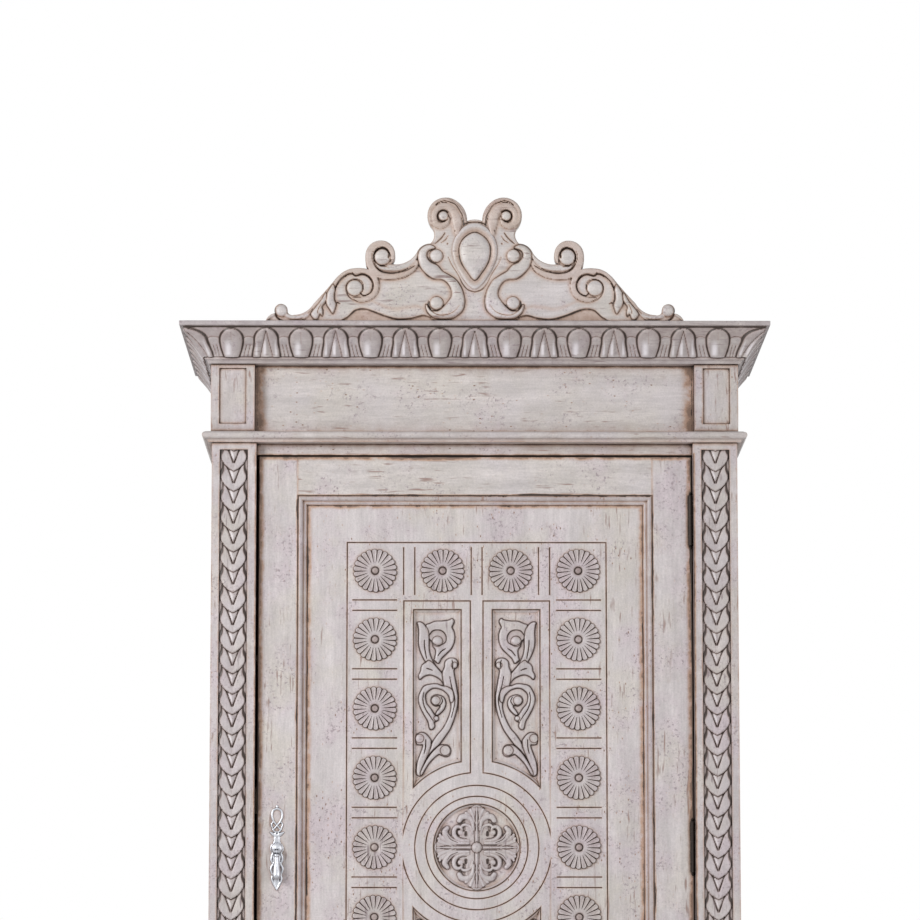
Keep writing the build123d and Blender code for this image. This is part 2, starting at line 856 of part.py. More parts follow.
pull_plane = Plane(origin=(pull_x, door_y, pull_z), x_dir=(1, 0, 0), z_dir=(0, -1, 0))
with BuildPart() as pull_plate:
    with BuildSketch(pull_plane):
        # boss seat and tapering neck
        Circle(13)
        with Locations((0, 19)):
            Trapezoid(20, 16, 105)
        # flare with two points
        with BuildLine():
            Polyline(
                (-13.5, 30.5), (-7, 24), (7, 24), (13.5, 30.5), (6, 34), (-6, 34), close=True
            )
        make_face()
        # knot and ring with a small finial
        with Locations((0, 44)):
            Circle(11.6)
        with Locations((0, 62.5)):
            Ellipse(10.9, 13)
        with Locations((0, 77)):
            RegularPolygon(4.5, 3, rotation=90)
        with Locations((0, 63.5)):
            Ellipse(7.4, 8.6, mode=Mode.SUBTRACT)
        with Locations((0, 44)):
            with PolarLocations(6.2, 4):
                Circle(2.2, mode=Mode.SUBTRACT)
        # leaf behind the drop
        with BuildLine():
            arcs(
                (0, -78),
                ((-12, -56), (-11, -44)),
                ((-14.5, -34), (-9, -26)),
                ((-13.5, -17), (-9, -6)),
            )
            Line((-9, -6), (0, -6))
            mirror(about=Plane.YZ)
        make_face()
    extrude(amount=plate_thickness)
pieces["pull_plate"] = pull_plate

plate_face = door_y - plate_thickness
pivot_y = plate_face - pivot_reach
pivot_z = pull_z - pivot_drop
# upright plane square to the door through the middle of the pull: x is outwards, y is up
pull_side = Plane(origin=(pull_x, plate_face, pull_z), x_dir=(0, -1, 0), z_dir=(-1, 0, 0))
with BuildPart() as pull_boss:
    # domed boss, turned about an axis square to the door
    with BuildSketch(pull_side):
        with BuildLine():
            Polyline(
                (0, 0), (0, 11.5), (1.6, 11.0), (4.2, 9.0), (6.2, 5.8), (7.3, 2.4), (7.5, 0),
                close=True,
            )
        make_face()
    revolve(axis=Axis((pull_x, plate_face, pull_z), (0, -1, 0)))
    # two cheeks that hold the pivot
    for across in (-1, 1):
        with BuildSketch(pull_side.offset(across * 4.4)):
            with Locations((pivot_reach, -pivot_drop)):
                Circle(3.6)
            with BuildLine():
                Polyline(
                    (pivot_reach, 3 - pivot_drop), (4, 3), (1, 0), (1, -3 - pivot_drop),
                    (pivot_reach, -3 - pivot_drop), close=True,
                )
            make_face()
        extrude(amount=1.1, both=True)
    with Locations((pull_x, pivot_y, pivot_z)):
        Cylinder(pivot_radius, 16, rotation=(0, 90, 0), mode=Mode.SUBTRACT)
pieces["pull_boss"] = pull_boss

with BuildPart() as pull_pivot:
    with Locations((pull_x, pivot_y, pivot_z)):
        Cylinder(pivot_radius, 12.4, rotation=(0, 90, 0))
pieces["pull_pivot"] = pull_pivot

drop_plane = Plane(origin=(pull_x, pivot_y, pivot_z), x_dir=(1, 0, 0), z_dir=(0, -1, 0))
with BuildPart() as pull_drop:
    # pear-shaped drop, turned about its own upright axis
    with BuildSketch(drop_plane):
        with BuildLine():
            Polyline(
                (0, -2.6), (2.2, -2.6), (4.7, -7), (4.7, -9), (4.2, -14), (5.8, -26),
                (8.6, -36), (6.2, -42), (4.2, -43), (5.0, -46), (0.8, -53.5), (0, -53.5),
                close=True,
            )
        make_face()
    revolve(axis=Axis((pull_x, pivot_y, pivot_z), (0, 0, 1)))
    # eye between the cheeks
    with Locations((pull_x, pivot_y, pivot_z)):
        Cylinder(3.4, 5.2, rotation=(0, 90, 0))
        Cylinder(pivot_radius + pivot_clearance, 6, rotation=(0, 90, 0), mode=Mode.SUBTRACT)
pieces["pull_drop"] = pull_drop


# ---- files --------------------------------------------------------------------------------

os.makedirs("parts", exist_ok=True)
for node, piece in pieces.items():
    piece.part.label = node
    export_step(piece.part, f"parts/{node}.step")
print(len(pieces), "pieces")
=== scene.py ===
import json
import math
import random
from functools import partial

import bpy
import numpy as np
from bpy.props import FloatProperty, FloatVectorProperty, IntProperty, PointerProperty
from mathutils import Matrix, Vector
from mathutils.geometry import delaunay_2d_cdt


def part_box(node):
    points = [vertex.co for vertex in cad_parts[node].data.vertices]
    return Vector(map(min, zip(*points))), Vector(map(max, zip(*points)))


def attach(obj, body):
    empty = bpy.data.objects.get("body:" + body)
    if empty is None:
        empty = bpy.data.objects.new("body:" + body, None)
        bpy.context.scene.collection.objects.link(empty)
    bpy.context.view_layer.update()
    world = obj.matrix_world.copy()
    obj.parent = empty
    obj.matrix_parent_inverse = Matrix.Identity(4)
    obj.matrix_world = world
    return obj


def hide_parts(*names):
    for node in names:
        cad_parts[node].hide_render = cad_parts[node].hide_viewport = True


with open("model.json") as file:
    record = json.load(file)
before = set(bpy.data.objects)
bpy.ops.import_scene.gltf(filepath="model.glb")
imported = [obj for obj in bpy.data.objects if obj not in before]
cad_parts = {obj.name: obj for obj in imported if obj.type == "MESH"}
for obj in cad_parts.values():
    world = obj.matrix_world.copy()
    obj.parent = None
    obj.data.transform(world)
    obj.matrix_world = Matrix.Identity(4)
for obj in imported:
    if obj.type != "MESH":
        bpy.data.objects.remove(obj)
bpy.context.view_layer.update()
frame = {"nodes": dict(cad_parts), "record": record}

# Bonnetiere: a tall single-door linen cupboard of carved wood, painted off-white, rubbed back at
# the edges and glazed with dark umber wax that stays in the carving.
#
# Frame: +X to the right, +Y into the depth, +Z up; the front looks along -Y. Sizes in this file
# are millimetres and become metres where a mesh is made.

bl_info = {
    "name": "Painted bonnetiere",
    "version": (1, 0, 0),
    "blender": (4, 5, 0),
    "location": "View3D > Sidebar > Bonnetiere",
    "description": "Carved and painted pieces for a single-door linen cupboard",
    "category": "Object",
}

MM = 0.001


def linear(code):
    """A colour written as an sRGB hex value, turned to the linear values that shaders take."""
    parts = [int(code[k:k + 2], 16) / 255 for k in (1, 3, 5)]
    lit = [p / 12.92 if p <= 0.04045 else ((p + 0.055) / 1.055) ** 2.4 for p in parts]
    return (*lit, 1.0)


def box_mm(node):
    """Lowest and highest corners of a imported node, in millimetres."""
    low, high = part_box(node)
    return np.array(low) * 1000, np.array(high) * 1000


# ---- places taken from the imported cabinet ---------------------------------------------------

CORNICE_LOW, CORNICE_HIGH = box_mm("cornice_front")
PANEL_LOW, PANEL_HIGH = box_mm("door_panel")
MEDAL_LOW, MEDAL_HIGH = box_mm("medallion")
PILASTER_LOW = box_mm("pilaster_left")[0]
CORNICE_BACK_Y = box_mm("cornice_left")[1][1]

CREST_FACE_Y = -285.0
CREST_BACK_Y = box_mm("crest_board")[1][1]
CORNICE_TOP = CORNICE_HIGH[2]
CORNICE_BOTTOM = CORNICE_LOW[2]
FRONT_Y = PILASTER_LOW[1]
BODY_HALF = -PILASTER_LOW[0]
PANEL_Y = PANEL_LOW[1]
CARVING_DEPTH = 6.0
SUNK_Y = PANEL_Y + CARVING_DEPTH
DESIGN_X = (MEDAL_LOW[0] + MEDAL_HIGH[0]) / 2
DESIGN_Z = (MEDAL_LOW[2] + MEDAL_HIGH[2]) / 2
MEDAL_RADIUS = 82.0

# the door, its panel moulding and the frieze, for the wax that lies along their edges
DOOR_LOW = box_mm("door_stile_left")[0]
DOOR_HIGH = box_mm("door_stile_right")[1]
MOULD_LOW, MOULD_HIGH = box_mm("door_panel_moulding")
MOULD_WIDTH = 18.0
FRIEZE_LOW, FRIEZE_HIGH = box_mm("frieze_board")

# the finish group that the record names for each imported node
SLOT_OF = {part["node"]: part["material_slot"] for part in frame["record"]["subparts"]}


# ---- sizes and colours that a user would change ---------------------------------------------

class BonnetiereCarving(bpy.types.PropertyGroup):
    crest_grain: FloatProperty(
        name="Crest detail", description="Spacing of the carved points on the crest board",
        default=0.0017, min=0.0008, max=0.006, unit="LENGTH",
    )
    relief_grain: FloatProperty(
        name="Relief detail", description="Spacing of the carved points on the small reliefs",
        default=0.0010, min=0.0005, max=0.004, unit="LENGTH",
    )
    strip_grain: FloatProperty(
        name="Strip detail", description="Spacing of the carved points on strips and cornice",
        default=0.0015, min=0.0008, max=0.005, unit="LENGTH",
    )
    leaf_relief: FloatProperty(
        name="Cornice leaf relief", description="How far the cornice leaves stand off the hollow",
        default=0.0065, min=0.001, max=0.009, unit="LENGTH",
    )
    rosette_petals: IntProperty(
        name="Rosette petals", description="Petals round each rosette of the door panel",
        default=22, min=8, max=40,
    )
    groove_width: FloatProperty(
        name="Groove width", description="Width of the lines cut into the door panel",
        default=0.0020, min=0.0005, max=0.005, unit="LENGTH",
    )
    edge_softness: FloatProperty(
        name="Edge softness", description="Width of the rubbed round on plain edges",
        default=0.0012, min=0.0002, max=0.004, unit="LENGTH",
    )


class BonnetiereFinish(bpy.types.PropertyGroup):
    paint: FloatVectorProperty(
        name="Paint", description="Off-white paint of the whole outside",
        default=linear("#cbc4c4"), size=4, min=0, max=1, subtype="COLOR",
    )
    paint_warm: FloatVectorProperty(
        name="Warm paint", description="Yellowed patches of the paint",
        default=linear("#cac3bd"), size=4, min=0, max=1, subtype="COLOR",
    )
    paint_rose: FloatVectorProperty(
        name="Rose paint", description="Faintly pink patches of the paint",
        default=linear("#c9bdc1"), size=4, min=0, max=1, subtype="COLOR",
    )
    glaze: FloatVectorProperty(
        name="Glaze", description="Umber wax left in the crevices",
        default=linear("#33261f"), size=4, min=0, max=1, subtype="COLOR",
    )
    stain: FloatVectorProperty(
        name="Stain", description="Tan smudges where the wax was wiped",
        default=linear("#b08a70"), size=4, min=0, max=1, subtype="COLOR",
    )
    # also the colour of the painted shade near corners and round the carving
    smoke_and_shade: FloatVectorProperty(
        name="Smoke", description="Grey-brown wax left thin in corners and round the carving",
        default=linear("#9a837c"), size=4, min=0, max=1, subtype="COLOR",
    )
    haze: FloatVectorProperty(
        name="Haze", description="Grey film of wax left all over carving and mouldings",
        default=linear("#8b7f82"), size=4, min=0, max=1, subtype="COLOR",
    )
    # used also for the painted highlights of the carving: cornice leaves, leaf strip facets and
    # proud parts
    rubbed: FloatVectorProperty(
        name="Rubbed edge", description="Paint burnished pale on the high edges of the carving",
        default=linear("#e1dce0"), size=4, min=0, max=1, subtype="COLOR",
    )


class BonnetiereStudio(bpy.types.PropertyGroup):
    camera_place: FloatVectorProperty(
        name="Camera place", description="Where the camera stands",
        default=(-0.0705, -9.0, 0.4978), size=3, subtype="TRANSLATION", unit="LENGTH",
    )
    camera_pitch: FloatProperty(
        name="Camera tilt", description="How far the camera looks up",
        default=math.radians(7.917), subtype="ANGLE", unit="ROTATION",
    )
    camera_turn: FloatProperty(
        name="Camera turn", description="How far the camera looks to the left",
        default=math.radians(-0.278), subtype="ANGLE", unit="ROTATION",
    )
    lens: FloatProperty(
        name="Lens", description="Focal length for a 36 mm wide sensor, in mm",
        default=181.01, min=20, max=400,
    )
    key_power: FloatProperty(
        name="Key lamp", description="Power of the soft lamp at the upper left",
        default=146.0, min=0, unit="POWER",
    )
    fill_power: FloatProperty(
        name="Fill lamp", description="Power of the soft lamp at the right",
        default=60.0, min=0, unit="POWER",
    )


# ---- lines and fields that carve ------------------------------------------------------------

def smooth_line(points, closed=False, per=7):
    """An even curve through a carver's few marks."""
    marks = np.array(points, float)
    if closed:
        ring = np.vstack([marks[-1], marks, marks[0], marks[1]])
    else:
        ring = np.vstack([2 * marks[0] - marks[1], marks, 2 * marks[-1] - marks[-2]])
    t = np.linspace(0, 1, per, endpoint=False)[:, None]
    runs = []
    for a, b, c, d in zip(ring, ring[1:], ring[2:], ring[3:]):
        runs.append(0.5 * (2 * b + (c - a) * t + (2 * a - 5 * b + 4 * c - d) * t ** 2
                           + (3 * b - a - 3 * c + d) * t ** 3))
    if not closed:
        runs.append(marks[-1:])
    return np.vstack(runs)


def arc(start, through, end, spacing=3.0):
    """Points along the circular arc through three marks, without its last one."""
    (ax, ay), (bx, by), (cx, cy) = start, through, end
    twice = 2 * (ax * (by - cy) + bx * (cy - ay) + cx * (ay - by))
    a2, b2, c2 = ax * ax + ay * ay, bx * bx + by * by, cx * cx + cy * cy
    ux = (a2 * (by - cy) + b2 * (cy - ay) + c2 * (ay - by)) / twice
    uy = (a2 * (cx - bx) + b2 * (ax - cx) + c2 * (bx - ax)) / twice
    radius = math.hypot(ax - ux, ay - uy)
    first = math.atan2(ay - uy, ax - ux)
    middle = (math.atan2(by - uy, bx - ux) - first) % math.tau
    last = (math.atan2(cy - uy, cx - ux) - first) % math.tau
    turn = last if middle < last else last - math.tau
    count = max(3, int(abs(turn) * radius / spacing))
    angles = first + turn * np.linspace(0, 1, count, endpoint=False)
    return np.column_stack([ux + radius * np.cos(angles), uy + radius * np.sin(angles)])


def circle_path(centre, radius, spacing=4.0):
    """Points round a full circle."""
    count = max(12, int(math.tau * radius / spacing))
    angles = np.arange(count) * math.tau / count
    return np.column_stack([np.cos(angles), np.sin(angles)]) * radius + centre


def edge_distance(X, Z, ring):
    """Distance to a closed outline, positive inside it."""
    near = np.full(X.shape, 1e9)
    inside = np.zeros(X.shape, bool)
    for (ax, az), (bx, bz) in zip(ring, np.roll(ring, -1, 0)):
        dx, dz = bx - ax, bz - az
        t = np.clip(((X - ax) * dx + (Z - az) * dz) / max(dx * dx + dz * dz, 1e-9), 0, 1)
        near = np.minimum(near, (X - ax - t * dx) ** 2 + (Z - az - t * dz) ** 2)
        if az != bz:
            crosses = ((az > Z) != (bz > Z)) & (X < dx * (Z - az) / dz + ax)
            inside ^= crosses
    return np.where(inside, 1, -1) * np.sqrt(near)


def ease(value):
    """A soft step from 0 to 1."""
    v = np.clip(value, 0, 1)
    return v * v * (3 - 2 * v)


# how a carved line stands up across its half-width: 0 on the line, 1 at its edge
def roll(t):
    return np.sqrt(np.clip(1 - t * t, 0, 1))


def flat(t):
    return np.sqrt(np.clip(1 - np.clip((t - 0.6) / 0.4, 0, 1) ** 2, 0, 1))


def vee(t):
    return 1 - t


class Ground:
    """A stretch of wood to be carved: the height of its face over an even grid."""

    # whether a board shows behind it at height 0, and how dark the tan halo of wax and painted
    # shade gets
    floor_shows = False
    wax_and_shade_halo = 0.40

    def __init__(self, x0, x1, z0, z1, grain, level=0.0):
        self.x = np.linspace(x0, x1, int(round((x1 - x0) / grain)) + 1)
        self.z = np.linspace(z0, z1, int(round((z1 - z0) / grain)) + 1)
        self.grain = grain
        self.X, self.Z = np.meshgrid(self.x, self.z)
        self.h = np.full(self.X.shape, float(level))
        # wax that was rubbed into cut lines and along outlines, 0 to 1
        self.wax = np.zeros(self.X.shape)

    def window(self, line, reach):
        """The part of the grid round a line."""
        c0, c1 = np.searchsorted(self.x, (line[:, 0].min() - reach, line[:, 0].max() + reach))
        r0, r1 = np.searchsorted(self.z, (line[:, 1].min() - reach, line[:, 1].max() + reach))
        return slice(r0, r1), slice(c0, c1)

    def nearness(self, points, widths):
        """Distance to a tapering line over its half-width, and the half-width there."""
        line = smooth_line(points)
        stations = np.linspace(0, 1, len(line))
        half = np.interp(stations, np.linspace(0, 1, len(widths)), widths) / 2
        place = self.window(line, half.max() + 3)
        X, Z = self.X[place], self.Z[place]
        near = np.full(X.shape, 99.0)
        for (ax, az), (bx, bz), ha, hb in zip(line, line[1:], half, half[1:]):
            dx, dz = bx - ax, bz - az
            t = np.clip(((X - ax) * dx + (Z - az) * dz) / max(dx * dx + dz * dz, 1e-9), 0, 1)
            dist = np.hypot(X - ax - t * dx, Z - az - t * dz)
            near = np.minimum(near, dist / (ha + (hb - ha) * t))
        return place, near, half.mean()

    def raise_to(self, place, level, line=0.0):
        """Puts a raised form on the ground; it hides the wax under it and keeps its own line."""
        covers = level > self.h[place]
        self.wax[place] = np.where(covers, line, np.maximum(self.wax[place], line))
        self.h[place] = np.maximum(self.h[place], level)

    def band(self, points, widths, rise, section=roll, tone=0.0):
        """A raised line, such as a scroll or the lobe of a leaf; tone is wax left along it, and
        painted shade on its slopes.
        """
        place, near, half = self.nearness(points, widths)
        level = np.where(near < 1, rise * section(np.minimum(near, 1)), -1.4 * (near - 1) * half)
        self.raise_to(place, level, tone * np.clip(1.6 - 1.6 * np.abs(near - 0.45), 0, 1))

    def cut(self, points, widths, depth, section=vee, line=1.0):
        """A line cut with a gouge, and filled with wax."""
        place, near, _ = self.nearness(points, widths)
        self.h[place] -= np.where(near < 1, depth * section(np.minimum(near, 1)), 0)
        self.wax[place] = np.maximum(self.wax[place], line * np.clip(1.25 - 0.9 * near, 0, 1))

    def ball(self, centre, radius, rise, line=1.0):
        """The round button at the eye of a scroll."""
        d = np.hypot(self.X - centre[0], self.Z - centre[1])
        place = slice(None), slice(None)
        level = np.where(d < radius, rise * roll(np.minimum(d / radius, 1)), -9)
        self.raise_to(place, level, line * np.clip(1 - np.abs(d - radius) / 1.8, 0, 1))

    def sink(self, ring, depth, slope=3.0, tone=0.0):
        """A field taken down inside a closed outline, with wax left on it."""
        d = edge_distance(self.X, self.Z, smooth_line(ring, closed=True, per=4))
        self.h -= depth * ease(d / slope)
        self.wax = np.maximum(self.wax, tone * ease(d / slope))

    def island(self, ring, rise, shoulder=3.2, line=1.0):
        """A raised form inside a closed outline: level on top, with rounded shoulders."""
        ring = smooth_line(ring, closed=True, per=4)
        place = self.window(ring, 4)
        d = edge_distance(self.X[place], self.Z[place], ring)
        level = np.where(d > 0, rise * roll(1 - np.clip(d / shoulder, 0, 1)), 1.4 * d)
        self.raise_to(place, level, line * np.clip(1.1 - np.abs(d) / 2.0, 0, 1))

    def pit(self, ring, floor):
        """A hollow taken down to a level floor inside a closed outline."""
        ring = smooth_line(ring, closed=True, per=4)
        place = self.window(ring, 1)
        d = edge_distance(self.X[place], self.Z[place], ring)
        h = self.h[place]
        lowered = floor + (h - floor) * (1 - ease(d / 1.4))
        self.h[place] = np.where(d > 0, np.minimum(h, lowered), h)
        line = np.clip(1.2 - np.abs(d - 0.5) / 1.8, 0, 1)
        self.wax[place] = np.where(d > 1.5, line, np.maximum(self.wax[place], line))

    def softened(self, field, reach):
        """Running average of a field over a reach in mm each way."""
        return soften(field, max(1, int(round(reach / self.grain))))

    def margin(self, width):
        """A narrow margin of ground round all that stands up, for the wax at its foot."""
        near = self.softened((self.h > 0.3) * 1.0, width / 2)
        self.h = np.where((near > 0.01) & (self.h < 0.12), 0.12, self.h)

    def crevices(self, reach=2.0, depth=1.8):
        """Where wax stays, also as painted shade: in cut lines, and where the face lies below the
        ground round it; where the face stands above it, a painted highlight, as values below 0.
        """
        face = np.maximum(self.h, 0) if self.floor_shows else self.h
        below = (self.softened(face, reach) - face) / depth
        # a thin tan halo of wax and painted shade spreads 3.2 mm further from the cut lines and 5
        # mm from the hollows
        lines = np.where(self.wax > 0.05, self.wax, 0)
        spread = self.softened(lines, 3.2) * 1.1 + (self.softened(face, 5.0) - face) / 6.0
        wax_and_shade_halo = np.clip(spread, 0, self.wax_and_shade_halo)
        # proud faces, below 0, become painted highlights, lessened by the halo
        below = np.where(below > 0, np.maximum(below, wax_and_shade_halo), below + 0.9 * wax_and_shade_halo)
        return np.clip(np.maximum(below, np.where(self.wax > 0.05, self.wax, -1)), -1, 1)

    def at(self, field, x, z):
        """Value of a field at any points of the grid's stretch."""
        u = np.clip((x - self.x[0]) / (self.x[1] - self.x[0]), 0, len(self.x) - 1.001)
        v = np.clip((z - self.z[0]) / (self.z[1] - self.z[0]), 0, len(self.z) - 1.001)
        c, r = u.astype(int), v.astype(int)
        fu, fv = u - c, v - r
        low = field[r, c] * (1 - fu) + field[r, c + 1] * fu
        high = field[r + 1, c] * (1 - fu) + field[r + 1, c + 1] * fu
        return low * (1 - fv) + high * fv


def soften(field, cells):
    """Running average over a few cells each way, twice."""
    width = 2 * cells + 1
    for axis in (0, 1, 0, 1):
        margins = [(cells + 1, cells) if k == axis else (0, 0) for k in (0, 1)]
        total = np.cumsum(np.pad(field, margins, "edge"), axis=axis)
        high = np.take(total, range(width, total.shape[axis]), axis=axis)
        low = np.take(total, range(0, total.shape[axis] - width), axis=axis)
        field = (high - low) / width
    return field


# ---- making meshes --------------------------------------------------------------------------

class Patch:
    """Points in mm, faces and the wax tone of each point, which also holds painted shade and
    painted highlights; patches are joined into a piece.
    """

    def __init__(self, points, faces, wax=0.0):
        self.points = np.asarray(points, float)
        self.faces = [tuple(int(k) for k in f) for f in faces]
        self.wax = np.full(len(self.points), wax) if np.isscalar(wax) else np.asarray(wax, float)

    def mirrored(self, axis, about=0.0):
        points = self.points.copy()
        points[:, axis] = 2 * about - points[:, axis]
        return Patch(points, [f[::-1] for f in self.faces], self.wax)


def grid_faces(rows, columns):
    """Quads over a grid of points kept row by row."""
    r, c = np.meshgrid(np.arange(rows - 1), np.arange(columns - 1), indexing="ij")
    a = (r * columns + c).ravel()
    return np.column_stack([a, a + 1, a + 1 + columns, a + columns])


def ring_wall(count, top_first, low_first):
    """Quads between two rings of points that run the same way."""
    k = np.arange(count)
    n = (k + 1) % count
    return np.column_stack([top_first + k, top_first + n, low_first + n, low_first + k])


def ring_walls(count, rings):
    """Quads between rings of points kept one after another."""
    return np.vstack([ring_wall(count, k * count, (k + 1) * count) for k in range(rings - 1)])


def make_piece(name, patches, body, finish, nodes=(), shade_smooth=True):
    """One visible piece from its patches, on its body and with its finish."""
    points = np.vstack([p.points for p in patches]) * MM
    faces, first = [], 0
    for p in patches:
        faces += [tuple(k + first for k in f) for f in p.faces]
        first += len(p.points)
    mesh = bpy.data.meshes.new(name)
    mesh.from_pydata(points.tolist(), [], faces)
    # the wax tone of each point, with its painted shade and painted highlights
    tone = mesh.attributes.new("wax", "FLOAT", "POINT")
    tone.data.foreach_set("value", np.concatenate([p.wax for p in patches]).astype(np.float32))
    if shade_smooth:
        mesh.polygons.foreach_set("use_smooth", [True] * len(faces))
        mesh.set_sharp_from_angle(angle=math.radians(50))
    mesh.update()
    piece = bpy.data.objects.new(name, mesh)
    bpy.context.scene.collection.objects.link(piece)
    mesh.materials.append(bpy.data.materials[finish])
    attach(piece, body)
    if nodes:
        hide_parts(*nodes)
    return piece


def relief_patch(ground, face_y, floor=-0.8, lift=0.0):
    """The carved face of a ground, without the cells that lie below the floor round it."""
    rows, columns = ground.h.shape
    points = np.column_stack([
        ground.X.ravel(), (face_y - np.maximum(ground.h, floor)).ravel(), ground.Z.ravel() + lift,
    ])
    faces = grid_faces(rows, columns)
    keep = ground.h.ravel()[faces].max(axis=1) > floor
    faces = faces[keep]
    used, renumbered = np.unique(faces, return_inverse=True)
    wax = ground.crevices().ravel()
    return Patch(points[used], renumbered.reshape(faces.shape), wax[used])


def fill(outline, inner=()):
    """Triangles inside a closed outline, through the inner points."""
    marks = [Vector(p) for p in outline] + [Vector(p) for p in inner]
    points, _, faces, _, _, _ = delaunay_2d_cdt(marks, [], [list(range(len(outline)))], 1, 1e-5)
    return np.array([tuple(p) for p in points]), faces


# ---- finishes -------------------------------------------------------------------------------

def set_inputs(node, links):
    """Links a node's inputs to sockets or sets them to values, by name or number."""
    for key, value in links.items():
        if isinstance(value, bpy.types.NodeSocket):
            node.id_data.links.new(value, node.inputs[key])
        else:
            node.inputs[key].default_value = value


def add_node(tree, kind, links=None, out=0, **settings):
    """Adds a shader node with its settings and links; gives back one output, or all for None."""
    node = tree.nodes.new("ShaderNode" + kind)
    for key, value in settings.items():
        setattr(node, key, value)
    set_inputs(node, links or {})
    return node.outputs if out is None else node.outputs[out]


def new_finish(name):
    """An empty material: a function that adds nodes to it, and its shader."""
    finish = bpy.data.materials.new(name)
    finish.use_nodes = True
    return partial(add_node, finish.node_tree), finish.node_tree.nodes["Principled BSDF"]


# wax rubbed in along the edges of a box seen from the front, with painted shade in it: the dark
# shadow in the door's gap and the blocks' shadows on the frieze's ends. For each: its lowest and
# highest corner, how far outside them the line lies, how far its dark and its tan reach, in mm,
# how strong the tan is, and how many times narrower it is outside the box and along the level edges
EDGE_WAX_AND_SHADE = (
    (DOOR_LOW, DOOR_HIGH, 2.0, 3.4, 15.0, 1.25, 2.4, 1.3),
    (MOULD_LOW, MOULD_HIGH, 0.0, 0.4, 3.6, 0.45, 1.0, 1.0),
    (MOULD_LOW + MOULD_WIDTH, MOULD_HIGH - MOULD_WIDTH, 0.0, 0.6, 12.0, 1.0, 4.0, 1.4),
    (FRIEZE_LOW, FRIEZE_HIGH, 0.0, 0.2, 24.0, 1.0, 9.0, 3.4),
)


def edge_wax_and_shade(add, place, along):
    """The dark line and the tan fringe of each of EDGE_WAX_AND_SHADE, on faces that look forward:
    wax, with painted shade in the door's gap and beside the frieze blocks.

    A line runs up to 4 mm further where the wax was rubbed in along the grain.
    """
    across, _, up = add("SeparateXYZ", {0: place}, out=None)
    turned_to = add("SeparateXYZ", {0: add("TexCoord", out="Normal")}, out=1)
    forward = add("MapRange", {"Value": turned_to, "From Min": -0.2, "From Max": -0.6})
    further = add("MapRange", {
        "Value": add("TexNoise", {"Vector": along, "Scale": 60.0, "Detail": 5.0, "Roughness": 0.7}),
        "From Min": 0.5, "From Max": 0.74, "To Max": 0.004,
    })
    for low, high, beyond, reach, tan_reach, strong, steep, level in EDGE_WAX_AND_SHADE:
        # distance outside the box, or inside it below 0
        outside = []
        for axis, spot, narrower in ((0, across, 1.0), (2, up, level)):
            middle = float(low[axis] + high[axis]) / 2 * MM
            half = (float(high[axis] - low[axis]) / 2 + beyond) * MM
            from_middle = add("Math", {0: spot, 1: middle}, operation="SUBTRACT")
            size = add("Math", {0: from_middle}, operation="ABSOLUTE")
            past = add("Math", {0: size, 1: half}, operation="SUBTRACT")
            outside.append(add("Math", {0: past, 1: narrower}, operation="MULTIPLY"))
        edge = add("Math", {0: outside[0], 1: outside[1]}, operation="MAXIMUM")
        away = add("Math", {
            0: add("Math", {0: edge, 1: steep}, operation="MULTIPLY"),
            1: add("Math", {0: edge, 1: -1.0}, operation="MULTIPLY"),
        }, operation="MAXIMUM")
        near = add("Math", {0: away, 1: further}, operation="SUBTRACT")
        dark = add("MapRange", {
            "Value": near, "From Min": (reach + 1.6) * MM, "From Max": (reach - 0.4) * MM,
        })
        fringe = add("MapRange", {
            "Value": near, "From Min": tan_reach * MM, "From Max": reach * MM, "To Max": strong,
        }, interpolation_type="SMOOTHSTEP")
        yield tuple(add("Math", {0: field, 1: forward}, operation="MULTIPLY")
                    for field in (dark, fringe))


def small_marks(add, place, grain_axis, along, patch, other):
    """Small marks in the paint: the dark ones together, then the grey dashes and the pepper."""
    # soft dark specks about 2 mm by 4 mm, in patches with one every 12 mm and clear places between
    flecked = [1.0, 1.0, 1.0]
    flecked[grain_axis] = 0.5
    cells = add("TexVoronoi", {
        "Vector": add("VectorMath", {0: place, 1: flecked}, operation="MULTIPLY"), "Scale": 170.0,
    }, out=None)
    dot = add("MapRange", {"Value": cells["Distance"], "From Min": 0.26, "From Max": 0.06})
    chance, depth_of, _ = add("SeparateColor", {0: cells["Color"]}, out=None)
    needed = add("MapRange", {
        "Value": other, "From Min": 0.42, "From Max": 0.62, "To Min": 0.85, "To Max": 0.4,
    })
    chosen = add("MapRange", {
        "Value": add("Math", {0: chance, 1: needed}, operation="SUBTRACT"), "From Max": 0.35,
    })
    for share in (chosen, depth_of):
        dot = add("Math", {0: dot, 1: share}, operation="MULTIPLY")
    # grey dashes about 3 mm by 25 mm, in patches, where the brush skipped along the grain
    skipped = add("TexNoise", {"Vector": along, "Scale": 160.0, "Detail": 2.0, "Roughness": 0.55})
    dash = add("Math", {
        0: add("MapRange", {"Value": skipped, "From Min": 0.6, "From Max": 0.7}),
        1: add("MapRange", {"Value": patch, "From Min": 0.46, "From Max": 0.58}),
    }, operation="MULTIPLY")
    marks = add("Math", {
        0: add("Math", {0: dot, 1: 1.6}, operation="MULTIPLY"),
        1: add("Math", {0: dash, 1: 0.4}, operation="MULTIPLY"),
    }, operation="MAXIMUM", use_clamp=True)
    # clusters of grey pepper 2 to 4 mm across where wax caught in the rough of the paint
    rough = add("TexNoise", {"Vector": place, "Scale": 190.0, "Detail": 3.0, "Roughness": 0.7})
    pepper = add("Math", {
        0: add("MapRange", {"Value": rough, "From Min": 0.565, "From Max": 0.64}),
        1: add("MapRange", {"Value": other, "From Min": 0.47, "From Max": 0.58, "To Max": 0.9}),
    }, operation="MULTIPLY")
    return marks, dash, pepper


